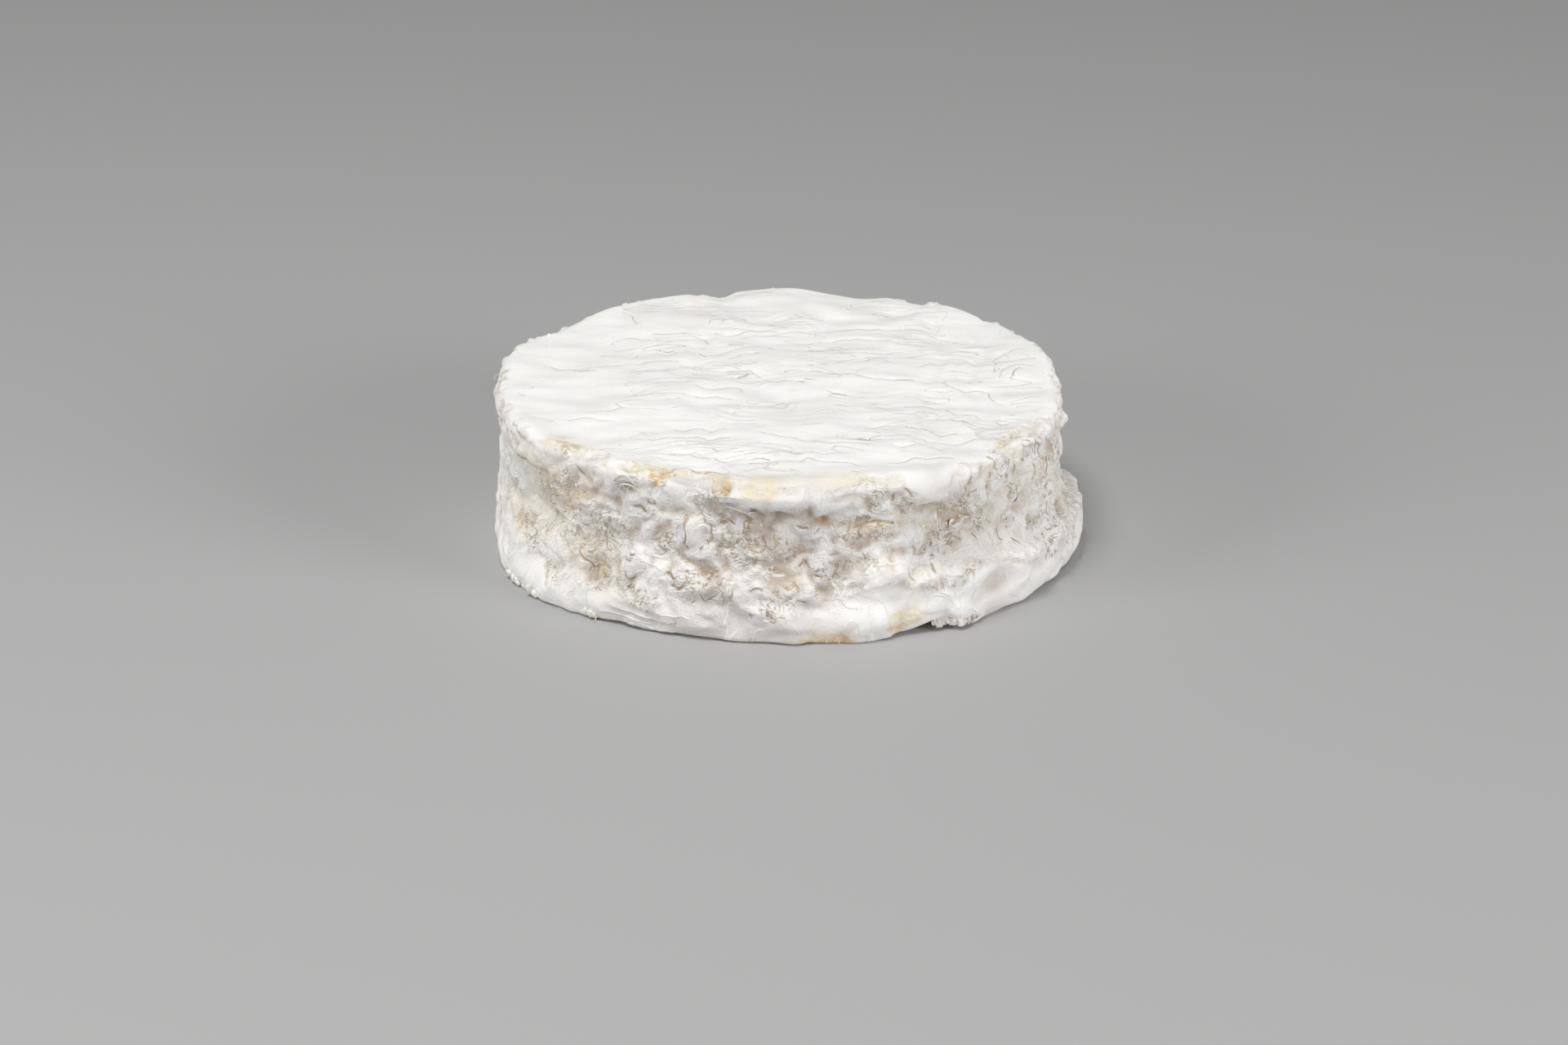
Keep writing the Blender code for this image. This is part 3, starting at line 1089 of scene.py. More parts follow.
        # Painted highlights: white lines along the web's ridges, glints, lit lips beside the grooves and lines
        # along the traced ridges, which also raise the bump.
        painted_highlights = graph.most(
            graph.times(lines(Mask.CREASE, self.crease_highlight), 0.8),
            graph.times(lines(curls, self.glint), graph.less(bare, graph.mask(Mask.RUST))),
            graph.times(lines(Mask.GROOVE, self.groove_rim), bare),
            lines(Mask.RIDGE, self.ridge_highlight),
        )
        colour = graph.mix(graph.times(painted_highlights, 0.85), colour, self.bloom)

        inputs = {0: place, 1: (self.rib_stretch, 1.0, 1.0)}
        along = graph.add("ShaderNodeVectorMath", inputs, operation="MULTIPLY").outputs[0]
        # Painted shade: grey along the top's ribs, ripples and seams, where the creases shade; the thread-brown
        # stains along some of them are their own colour.
        rib_lines = graph.most(
            graph.times(lines(Mask.RIB, self.rib_line, along), 0.8),
            graph.times(lines(Mask.RIPPLE, self.ripple_line, along), 0.6),
            lines(Mask.SEAM, self.seam_line),
        )
        colour = graph.mix(graph.times(rib_lines, 0.6), colour, self.seam)
        stains = graph.times(rib_lines, graph.span(graph.noise(along, self.stain_size), 0.64, 0.70))
        colour = graph.mix(graph.times(stains, 0.8), colour, self.thread)

        height = graph.place(shared.fuzz, {"Vector": place, "Fuzz Size": 0.35 * MM, "Tuft Size": 1.3 * MM})
        height = graph.less(height, graph.times(rib_lines, 1.6))
        height = graph.less(height, graph.times(dark_lines, 1.5))
        height = graph.math("ADD", height, graph.times(painted_highlights, 1.5))
        crumple = graph.times(graph.math("ABSOLUTE", graph.less(curls, 0.5)), bare)
        crumple = graph.times(crumple, graph.span(curly, 0.0, 0.8, 4.0, 10.0))
        return skin.dress(
            colour,
            graph.math("ADD", height, crumple),
            bump=(0.7, 0.2 * MM),
            Roughness=self.roughness,
            Specular_IOR_Level=0.35,
            Subsurface_Weight=0.15,
            Subsurface_Radius=FLESH,
            Subsurface_Scale=1.0 * MM,
            Sheen_Weight=0.15,
            Sheen_Roughness=0.5,
        )


@dataclass(frozen=True)
class CurdFinish:
    """The off-white of torn skin and crumbs, with a fine grain."""

    pale: Colour = (0.86, 0.84, 0.80, 1.0)
    warm: Colour = (0.78, 0.68, 0.50, 1.0)
    roughness: float = 0.75

    def make(self, name: str, shared: Finishes) -> bpy.types.Material:
        """Builds the material.

        Args:
            name: the material's name.
            shared: the groups that it places.

        Returns:
            The material.
        """
        skin = Skin(name)
        drift = {"Drift": self.warm, "Size": 2.5 * MM, "Amount": 0.8}
        grain = {"Fuzz Size": 0.3 * MM, "Tuft Size": 0.9 * MM}
        return skin.dress(
            skin.graph.place(shared.mottle, {"Vector": skin.place, "Colour": self.pale, **drift}),
            skin.graph.place(shared.fuzz, {"Vector": skin.place, **grain}),
            bump=(0.6, 0.15 * MM),
            Roughness=self.roughness,
            Specular_IOR_Level=0.3,
            Subsurface_Weight=0.15,
            Subsurface_Radius=FLESH,
            Subsurface_Scale=0.8 * MM,
        )


def read_points(mesh: bpy.types.Mesh) -> Array:
    """Reads the points of a mesh.

    Args:
        mesh: the mesh.

    Returns:
        The points, one row each.
    """
    points = np.empty(len(mesh.vertices) * 3, np.float32)
    mesh.vertices.foreach_get("co", points)
    return points.reshape(-1, 3).astype(float)


def write_points(mesh: bpy.types.Mesh, points: Array) -> None:
    """Moves the mesh's points."""
    mesh.vertices.foreach_set("co", points.astype(np.float32).ravel())
    mesh.update()


def read_normals(mesh: bpy.types.Mesh) -> Array:
    """Reads the normals of a mesh.

    Args:
        mesh: the mesh.

    Returns:
        Its outward direction at each point, one row each.
    """
    normals = np.empty(len(mesh.vertices) * 3, np.float32)
    mesh.vertex_normals.foreach_get("vector", normals)
    return normals.reshape(-1, 3).astype(float)


def store(mesh: bpy.types.Mesh, mask: Mask, values: Array) -> None:
    """Stores a mask on the mesh's points."""
    attribute = mesh.attributes.new(mask.value, "FLOAT", "POINT")
    attribute.data.foreach_set("value", values.astype(np.float32))


@dataclass
class Rind:
    """The whole cheese as it shows: the drum's form with the wrinkles, worms and ribs of its rind."""

    drum: Drum
    finish: RindFinish
    seed: int = 5
    wall_size: tuple[float, float] = (math.tau * 68.5 * MM, 64.5 * MM)
    wall_cells: tuple[int, int] = (1280, 192)
    stray: Wave = Wave(12 * MM, 0.7 * MM)
    worms: Wave = Wave(2.3 * MM, 0.16 * MM)
    worm_growth: tuple[int, float] = (22, 0.3)
    folds: Wave = Wave(14 * MM, 0.46 * MM, 0.35)
    web: Wave = Wave(11 * MM, 0.2 * MM, 0.4)
    dimples: Wave = Wave(5 * MM, 0.15 * MM, 0.4)
    crumple: Wave = Wave(3 * MM, 0.08 * MM, 0.4)
    scallops: tuple[Wave, ...] = (Wave(15 * MM, 0.8 * MM), Wave(2.6 * MM, 0.14 * MM), Wave(6 * MM, 0.4 * MM))
    calm_stray: Wave = Wave(20 * MM, 1.5 * MM)
    calm_fade: float = 4 * MM
    curly_spots: Wave = Wave(14 * MM, 0.45)
    tint_spots: Wave = Wave(20 * MM, 0.6)
    drawn_stray: tuple[Wave, Wave] = (Wave(4 * MM, 0.25), Wave(4 * MM, 0.2))
    ridge_height: float = 0.32 * MM
    groove_depth: float = 0.22 * MM
    groove_rim: float = 0.15 * MM
    skin_thickness: float = 0.15 * MM
    under_rim: float = 0.1 * MM
    top_side: float = 160 * MM
    top_cells: int = 480
    top_stray: Wave = Wave(16 * MM, 0.9 * MM, 0.4, 1.3)
    top_bend: Wave = Wave(34 * MM, 1.5 * MM)
    swirl: float = 2.2 * MM
    ribs: Wave = Wave(6.4 * MM, 0.03 * MM, 0.45, 7.0)
    rib_crease: float = 0.09 * MM
    fine_ribs: Wave = Wave(3.2 * MM, 0.04, 0.4, 9.0)
    rib_spots: Wave = Wave(30 * MM, 0.35)
    top_wander: Wave = Wave(7 * MM, 0.45, 0.4)
    top_lumps: Wave = Wave(11 * MM, 0.1 * MM, 0.4, 1.6)
    seam_depth: float = 0.11 * MM
    seam_rim: float = 0.04 * MM
    stain_depth: float = 0.2 * MM
    hollow_depth: float = 0.5 * MM
    rim_line: float = 2.2 * MM
    rim_drops: tuple[Lobe, ...] = lobes(
        (-18.5, 8, -7.2), (-32, 5, -2), (-40, 5, -3), (1, 14, 0.6), (31, 8, 5), (-65, 12, 1.5),
        (-46, 10, -0.8), (61, 13, -6),
    )
    chips: tuple[Lobe, ...] = lobes(
        (-18.5, 7.5, 1.5), (-32, 5, 0.9), (-41, 5, 0.8), (52, 6, 0.7), (62, 10, 0.9), (131, 7, 1),
        (198, 6, 0.8), (-104, 6, 0.8),
    )
    edge_tints: tuple[Lobe, ...] = tints(
        (-21.5, 3.4, 2.2), (-16, 4, 2.2), (-29, 4, 1), (-38, 3, 0.5), (22, 3, 0.5), (60, 9, 0.9),
        (128, 6, 0.8), (200, 7, 0.8), (256, 6, 0.7),
    )
    calm_line: Rows = (
        (-180, 7), (-120, 8), (-90, 10), (-65, 11), (-45, 8.5), (-30, 8.5), (-18, 7.5), (-5, 7), (8, 9),
        (17, 11.5), (22, 15.5), (32, 15.5), (48, 12.5), (60, 8.5), (80, 8), (110, 10), (150, 8), (180, 7),
    )
    smooth_patches: tuple[Form, ...] = patches(
        (-88, 24, 18, 16, 0.9), (98, 6.5, 18, 5.5, 0.9), (80, 3, 20, 5, 0.9), (-18, 38.4, 7, 3.6, 1),
        (-32, 36.4, 4, 2.6, 0.9), (-22, 35.5, 10, 3, 0.6), (-68, 5, 16, 9, 1), (-30, 3, 16, 5, 0.8),
        (12, 6, 16, 6.5, 1), (21, 15.5, 7, 3.5, 0.9), (55, 6, 12, 4, 0.4), (-17, 25.5, 2.4, 5, 0.9),
        (31, 36.2, 9, 5.5, 1.2), (1, 35.4, 15, 4, 1.2), (-50, 35, 12, 3.6, 0.9), (-35, 35.5, 6, 3, 0.7),
        (150, 6, 40, 8, 0.8), (230, 5, 40, 7, 0.8),
    )
    curly_patches: tuple[Form, ...] = patches(
        (-42, 19, 16, 8, 1), (-60, 15, 8, 6, 0.7), (-52, 28, 10, 6, 0.8), (-8, 22, 10, 7, 0.9),
        (-16, 13, 8, 5, 0.7), (18, 26.5, 8, 4, 1), (36, 22, 12, 7, 0.8), (74, 26, 26, 11, 0.65),
        (70, 14, 14, 6, 0.9), (92, 14, 10, 5, 0.5),
    )
    # Patches painted darker beige, as under the lip: partly the hollows' own tint, partly painted shade.
    low_tint_and_shade_patches: tuple[Form, ...] = patches(
        (-3, 29.5, 14, 4.5, 1), (-4, 22, 13, 7, 0.25), (35, 24, 12, 6, 0.3), (-14, 16.5, 6, 4.5, 0.7),
        (-12, 9, 6, 4, 0.6), (0, 17.5, 5, 5, 0.6), (-38, 12, 7, 4.5, 0.55), (10, 13, 6, 5, 0.45),
        (46, 8, 5, 3.5, 0.5), (32, 28, 8, 4.5, 0.6), (-38, 31, 12, 5, 0.6), (57, 22.5, 4, 3.5, 0.5),
        (63, 16.5, 4, 2.6, 0.5), (76, 14.5, 4, 3, 0.5), (74, 30.5, 5, 4.5, 0.4), (-60, 34, 10, 4.5, 0.4),
    )
    cream_patches: tuple[Form, ...] = patches(
        (-52, 28, 13, 7.5, 0.9), (-53.5, 28, 5, 4, 0.9), (-48, 24.5, 3.5, 3, 0.5), (-62, 18, 14, 7, 0.7),
        (-41, 17, 12, 7, 0.5), (-43, 28.5, 3, 2.4, 0.6), (-28, 38.4, 5, 1.4, 1.2), (-12, 37.5, 3, 2.6, 1.4),
        (-24, 37.6, 3, 2, 1.4), (-3.5, 37.6, 5, 2.4, 1.6), (2, 39.6, 16, 0.9, 0.4), (13, 38.8, 8, 1.3, 0.8),
        (-49, 38.2, 9, 1.3, 0.7), (24.5, 4.5, 5, 3.2, 1.5), (5, 0.6, 4, 1.6, 1), (11, 1.5, 6, 3, 2),
        (20, 27, 9, 4, 0.4), (40, 33, 5, 5, 0.3), (60, 27, 12, 6, 0.25), (78, 19, 9, 6, 0.45),
        (53, 38, 4, 1.6, 0.8), (118, 22, 16, 8, 0.5), (165, 30, 14, 7, 0.45), (205, 18, 15, 7, 0.5),
        (240, 29, 14, 6, 0.5),
    )
    tan_patches: tuple[Form, ...] = patches(
        (-43, 28.5, 2.6, 1.8, 1.1), (-52.5, 28, 2.4, 2.4, 0.5), (-50, 38.4, 7, 0.9, 0.8),
        (-3, 39.5, 6, 0.7, 0.5), (-36.5, 11.5, 2.6, 2.4, 0.8), (-61, 15.5, 5, 3, 0.6),
        (-56, 31.5, 7, 1.8, 0.6), (-47, 24, 4, 4, 0.4), (18, 27, 7, 3.2, 0.6), (3, 14.5, 2.4, 2.8, 0.6),
        (-4.4, 0.6, 1.5, 1.8, 1.1), (30, 25.5, 5, 1.4, 0.6), (39, 34, 1.3, 3.2, 0.5), (56, 33, 5, 5, 0.35),
        (66, 29, 7, 7, 0.4), (76, 33, 6, 6, 0.4), (46.5, 33, 1.3, 4, 0.5), (112, 24, 4, 3, 0.6),
        (171, 33, 3, 2, 0.7), (208, 20, 6, 3, 0.5), (246, 31, 3, 2, 0.7),
    )
    ochre_patches: tuple[Form, ...] = patches(
        (-24.8, 36.9, 1.9, 1.9, 3), (-10.5, 36.8, 2, 2, 1.4), (11, 0.9, 4.4, 2.1, 2.4),
        (5, 0.2, 4, 1.2, 0.7), (22.3, 2.4, 3, 1.5, 1.2),
    )
    # Dark lines traced on the wall and sunk in: brown marks, some of them painted shadow lines, as under the
    # lip.
    grooves: tuple[Stroke, ...] = strokes(
        (1.3, -29.7, 29.7, -28.9, 29.5, -28.1, 29.1, -27.2, 28.2),
        (1, -26.6, 31.3, -26.2, 30.5, -25.6, 30.2, -25.2, 30.8, -25.1, 31.6),
        (1.4, -18.2, 29.6, -18.6, 27.7, -18.8, 26.3, -18.4, 23.8, -18.6, 22, -18.5, 20.6),
        (1.2, -13.8, 28, -13.3, 27.2, -13.5, 25.5, -13.2, 24.3, -13.5, 23.2),
        (1, -12, 27.4, -10.6, 28.2, -9.1, 28.3, -8.6, 27.6), (1, -9.9, 28.9, -9, 28.4, -8.7, 27.4),
        (1.6, -7, 29.8, -6, 29.2, -5.3, 28.6), (0.7, -7.2, 28.4, -7.3, 26.4), (0.7, -6.5, 28.6, -6.6, 26),
        (0.7, -5.9, 28.2, -5.8, 26),
        (1, -11.6, 23, -11, 22.2, -9.8, 22, -8.6, 22.8, -7.8, 24.2, -7.4, 25.2),
        (1, -11, 24, -10.2, 23.6, -9.8, 22.9),
        (1.2, -6.3, 25, -6, 23, -5.4, 22, -4.2, 21.8, -3.2, 22.5, -2.8, 23.6, -3.2, 24.8),
        (0.9, -4.8, 24.4, -4.2, 23.7, -4.4, 23), (1.2, -3.6, 28.8, -3.2, 28, -2.8, 27.4),
        (1.8, -1.4, 26.6, -1, 26.5), (2, -1.2, 31, -0.5, 31), (1.6, -10.4, 33.2, -10.3, 32.6),
        (1.8, -16.7, 32.4, -16.4, 32.2), (1.2, -1, 25, -0.4, 23.8, -0.2, 23.2),
        (1.4, -22.7, 14.6, -22, 14.8, -21.2, 14, -20.7, 13.3),
        (1.4, -20.8, 12.1, -20, 11.5, -18.9, 11.7, -18.2, 12.3, -18, 13.2, -16.8, 13.4),
        (1.2, -24.2, 9, -23.4, 9.3), (1.5, -18.2, 15.5, -17.6, 15.4), (1.3, -16.6, 15.6, -16.4, 15.2),
        (1.3, -15.5, 15.4, -15.2, 15.2), (1.4, -13.2, 16.6, -12.4, 15.9, -12, 16),
        (1, -13.3, 15.1, -12.7, 15.2), (1.3, -15.5, 18.4, -15.2, 17.8), (1.1, -19, 17.8, -18.3, 18.3),
        (1, -14, 23, -13.2, 23.5), (1.2, -15.6, 21, -15.2, 21.8), (1.8, -10.5, 11.2, -10.3, 12),
        (1.2, -8.8, 11.8, -8.6, 12.8), (0.8, -5.3, 12.7, -4.4, 13.2, -2.9, 13.2),
        (1.8, -5.4, 6.8, -4.7, 6.9), (1.1, -2.3, 8.8, -2.2, 6.8), (1.5, -16.8, 8.6, -16.4, 8.7),
        (1, -14.9, 11, -14.3, 9.2), (2.2, -1.6, 17.5, 0, 17.3, 1.4, 17.6), (1.2, -3.6, 10.9, -3.2, 10.8),
        (1, 3.7, 27.9, 4.6, 27.7, 5.6, 27.5), (1.6, 2.2, 28.9, 2.6, 28.7), (1, 8.1, 27.5, 7.6, 26.6, 7, 26),
        (1.2, 6.6, 22.4, 5.6, 21.7, 4.6, 20.8), (1, 1.7, 21.8, 2.5, 22.2, 3.5, 21.3),
        (0.8, 4, 18.3, 4.3, 19, 5, 19.4, 5.5, 18.4, 5.7, 17.6), (1.4, 7.4, 13.2, 7.8, 13.2),
        (1.6, 7.2, 11.4, 7.6, 11.4), (1.4, 10.4, 15, 10.7, 14.8), (1.4, 6.5, 23.8, 6.9, 23.8),
        (1.2, 7.3, 16.4, 8.4, 15.9), (1, 0.9, 13.8, 1.7, 13, 2.3, 13.1),
        (1.6, 2.6, 14.8, 3.8, 13.8, 4, 12.7), (1.2, 3.6, 9.9, 4.4, 10.4, 5, 10.2),
        (1.1, 10.6, 20.9, 11.4, 20.8), (1.4, 13.8, 29.2, 13.8, 27.4, 13.3, 26.2),
        (1.6, 15.2, 27.3, 16.4, 27.9, 17.8, 28.3, 19.5, 28.5, 21.2, 28.6, 22.9, 27.8),
        (1.2, 15.8, 27.6, 15.3, 26.4, 16, 25.4), (2, 20.4, 25.4, 20.7, 25.1), (1.6, 22.5, 24.2, 23, 24),
        (1.2, 19, 24.5, 19.2, 23.6), (1, 19.6, 28.4, 19.4, 27.2), (0.8, 15.6, 30.2, 15.5, 28.8),
        (0.8, 16.4, 30.4, 16.3, 29), (0.8, 17.2, 30.2, 17.3, 29.2), (0.8, 18, 30, 18.2, 29.2),
        (1.2, 24.2, 36.4, 25.2, 35.6, 26, 34.6), (0.9, -5.6, 32.7, -4, 32, -2, 31.3, 0.4, 31.2),
        (2, -42.5, 29.1, -42.1, 28.9), (1.2, -54, 30.6, -52.4, 29.6, -51.2, 28.5),
        (1.3, -60.5, 33, -59, 31.9, -57.5, 31.2), (1, -37, 19.2, -36.5, 17.8, -36, 16.8, -35, 16.5),
        (1.3, -30.5, 17.6, -29, 17.8), (1, -31.2, 15.8, -29.6, 16),
        (1.2, -44, 14.2, -42.3, 13, -41, 12.2, -39.6, 11), (1.4, -37.2, 12.4, -36, 12.9, -35.2, 12.5),
        (1.2, -50.4, 7.4, -49.6, 5.4, -48.4, 4.8), (1, -56.6, 14.2, -56.8, 12.5),
        (1.4, -39.2, 34.6, -38.8, 34.4), (1.2, -33.4, 26.9, -33, 26.8),
        (1, -31.4, 13.2, -30.6, 11.6, -28.8, 12.6), (1.1, -44, 35, -42.8, 33.4),
        (0.9, -45.4, 22.8, -44.9, 24.4, -45.8, 25.6), (0.9, -39.6, 20.3, -38, 20.4),
        (0.9, -62.5, 17.4, -61.6, 16, -60, 15.6), (0.8, -66.2, 38.2, -62.6, 37.2, -59.8, 36.3),
        (0.8, -53.4, 39, -49.6, 38.2, -46.4, 38), (1.2, 39.2, 35.6, 39.2, 34, 38.8, 31),
        (1, 41, 31.4, 42.2, 31.6), (0.86, 46.5, 37.5, 48, 36.4, 47.8, 35, 48.4, 34),
        (0.79, 52, 36.5, 52.6, 34.6, 51.8, 33), (0.72, 54.4, 33.4, 55.4, 31.4, 54.8, 29.8),
        (0.86, 58, 37, 58.6, 35.4, 57.8, 34, 58.2, 32.6), (0.72, 60.4, 31.6, 61.4, 29.4, 60.8, 27.6),
        (0.86, 62.6, 36.4, 63.4, 34, 62.8, 32.2), (0.72, 64, 29.8, 64.8, 27.2, 64, 25.4),
        (0.86, 66.8, 35.6, 67.6, 33, 66.8, 31.4, 67.4, 29.8), (0.72, 69.8, 29.4, 70.6, 26.8, 69.8, 24.6),
        (0.86, 71.8, 37, 72.8, 34.6, 72, 32.6), (0.72, 75, 31.6, 75.8, 29, 75, 26.8),
        (0.86, 77.6, 36.4, 78.4, 33.4, 77.4, 31), (0.72, 81, 33, 82, 30, 81, 27.6),
        (0.79, 46.4, 34, 46.2, 30.2), (1.4, 37.4, 29.3, 37.8, 30), (1.3, 37.3, 27, 37.6, 26.9),
        (1.3, 38.8, 24.4, 41, 24.4, 43, 23.6), (0.8, 35.8, 25, 37.2, 23.8, 38.9, 24.9),
        (1.3, 33.6, 18.9, 33.9, 18.4), (1.3, 31.6, 17.6, 32.4, 17.4), (1.2, 31.2, 15.8, 31.4, 14.6),
        (1.2, 26, 15.4, 26.2, 13.8), (1.2, 27, 21, 28, 19.6, 27.8, 19), (1.1, 43.3, 19.6, 43.8, 18.4),
        (1.01, 48.3, 21.1, 48.6, 20.8), (0.86, 56, 27.6, 56.4, 25.8), (0.72, 54, 15.6, 54.8, 14),
        (0.72, 50.5, 18.6, 51, 16), (1.8, 33.3, 28.4, 33.6, 26.6), (1, 35.2, 17.2, 34.9, 16.4),
        (0.9, -24.6, 20.4, -23.4, 19.3, -22.2, 19.9),
    )
    # Ridges traced on the wall: raised, and drawn with white painted highlight lines.
    ridges: tuple[Stroke, ...] = strokes(
        (1, 21.7, 36, 21.5, 34, 20.9, 30.2),
        (1, 8.7, 19.9, 9.9, 15.4, 10.9, 13.6, 11.9, 11.2, 13.4, 8.8, 15, 8.4), (1, 38, 11, 36.6, 8, 35, 5),
        (1.2, -34, 36.8, -32.2, 36.9, -30.4, 36, -28.8, 35),
        (1.2, -33.6, 34.6, -32, 35.4, -30.2, 35, -28.8, 33.6), (1, -6.4, 17.8, -4, 17.4, -1.6, 16.4),
        (1, -6, 16.6, -3.8, 16.4, -1.8, 15.2), (1, -5.2, 13.1, -4.3, 13.8, -2.8, 13.8),
        (1, -39.4, 24, -38.2, 22.7, -39.3, 21.3, -37.9, 19.8, -38.7, 18.2),
        (1, -36.8, 24.4, -35.9, 22.8, -36.8, 21.2, -35.8, 19.6), (1.2, -10.8, 31.9, -8.4, 32.4, -6, 31.8),
        (1.2, -2.6, 31.9, -3.6, 32.7), (1.4, 1.2, 29.1, 2.4, 28.4, 3.8, 27.5, 5.4, 27),
        (1.5, 57, 9.5, 54.6, 7.4, 52.6, 5.6), (1.4, 32, 9.6, 34.6, 7.2, 35.6, 4.4, 36.4, 2.4),
        (1.4, 40.4, 8.6, 39.2, 5.6, 40, 2.6), (1.2, 20, 19.6, 24, 17.4, 28, 15.8, 34, 16.4, 42, 17.2),
        (1, -9.8, 13.6, -9.4, 9, -10, 4.4), (1, -23.4, 36.6, -23.2, 35.6, -22.6, 34.6),
        (1.2, -17.4, 36.6, -16.4, 36.2, -15.4, 35.4), (1.2, -13.6, 36.8, -13.2, 35.6, -13.6, 34.4),
        (1, -40.4, 24.6, -40.6, 23.4), (1, 35.6, 24.4, 37, 23.2, 38.6, 24.2), (1, -48.6, 6.6, -47.4, 4.6),
        (1, -56, 13.8, -55.6, 12.6), (1, -25.6, 18.6, -24.4, 17.8, -23, 18),
        (1, 17.2, 9, 17.5, 5, 17.2, 1.4), (1, -36, 3.4, -30, 2.6, -25, 2.2),
        (1, -33, 4.8, -27, 3.8, -22, 3.6), (1, -30, 1.5, -24, 1.1, -20, 1.4),
        (1, -24, 5.2, -20, 4.9, -17, 5.3),
    )
    rust_patches: tuple[Form, ...] = patches((8.6, 29.5, 3.6, 1.2, 1.6), (150, 28.0, 2.2, 0.9, 0.8))
    # Patches of grey painted shade: under the rim and the lip, in hollows and over the foot, where shadow
    # falls.
    painted_shade_patches: tuple[Form, ...] = patches(
        (-63, 35.5, 7, 3, 0.7), (-52, 35, 6, 3, 0.7), (-42, 34.5, 5, 3.2, 0.8), (-33, 34.8, 5, 3, 0.8),
        (-18, 37.4, 6, 4.2, 0.9), (-4, 29.2, 14, 3.8, 0.7), (15, 14.5, 5, 2.6, 0.7), (2, 6.2, 6, 1.8, 0.6),
        (5, 38.4, 24, 2, 0.8), (3, 36, 15, 2.2, 0.3), (31, 37, 9, 3.6, 0.8), (-2, 22, 16, 9, 0.55),
        (-10, 3.5, 34, 6.5, 1.1), (-4, 11, 26, 5, 0.5), (32, 19, 8, 5, 0.4), (42, 3, 16, 4, 0.5),
        (14, 32, 9, 2.6, 0.5), (24, 33.5, 4, 3.5, 0.5), (39, 31.5, 6, 4.5, 0.7), (30, 28.5, 8, 3.5, 0.7),
        (45, 22, 10, 5, 0.3), (5, 24, 5, 4, 0.6), (13, 16, 5, 5, 0.6), (-13, 8.8, 5, 3, 0.7),
        (-24, 12, 4, 2.4, 0.6), (-16, 18.5, 5, 4, 0.5), (-27, 26, 6, 4, 0.4), (6, 9.5, 6, 2.4, 0.6),
        (45, 6.5, 6, 4, 0.7), (57, 27, 8, 5, 0.5), (160, 33, 12, 4, 0.6), (212, 34, 10, 3.5, 0.6),
        (120, 33.5, 12, 3.5, 0.6), (255, 33, 10, 4, 0.6),
    )
    top_slits: Rows = in_mm(
        (43, -23.5, 4.5, 0.7), (37, -31, 8, 0.7), (51.5, -22, 2.4, 0.7), (-9, 5, 4.5, 1.6),
        (3, -5, 2.5, 1.4),
    )
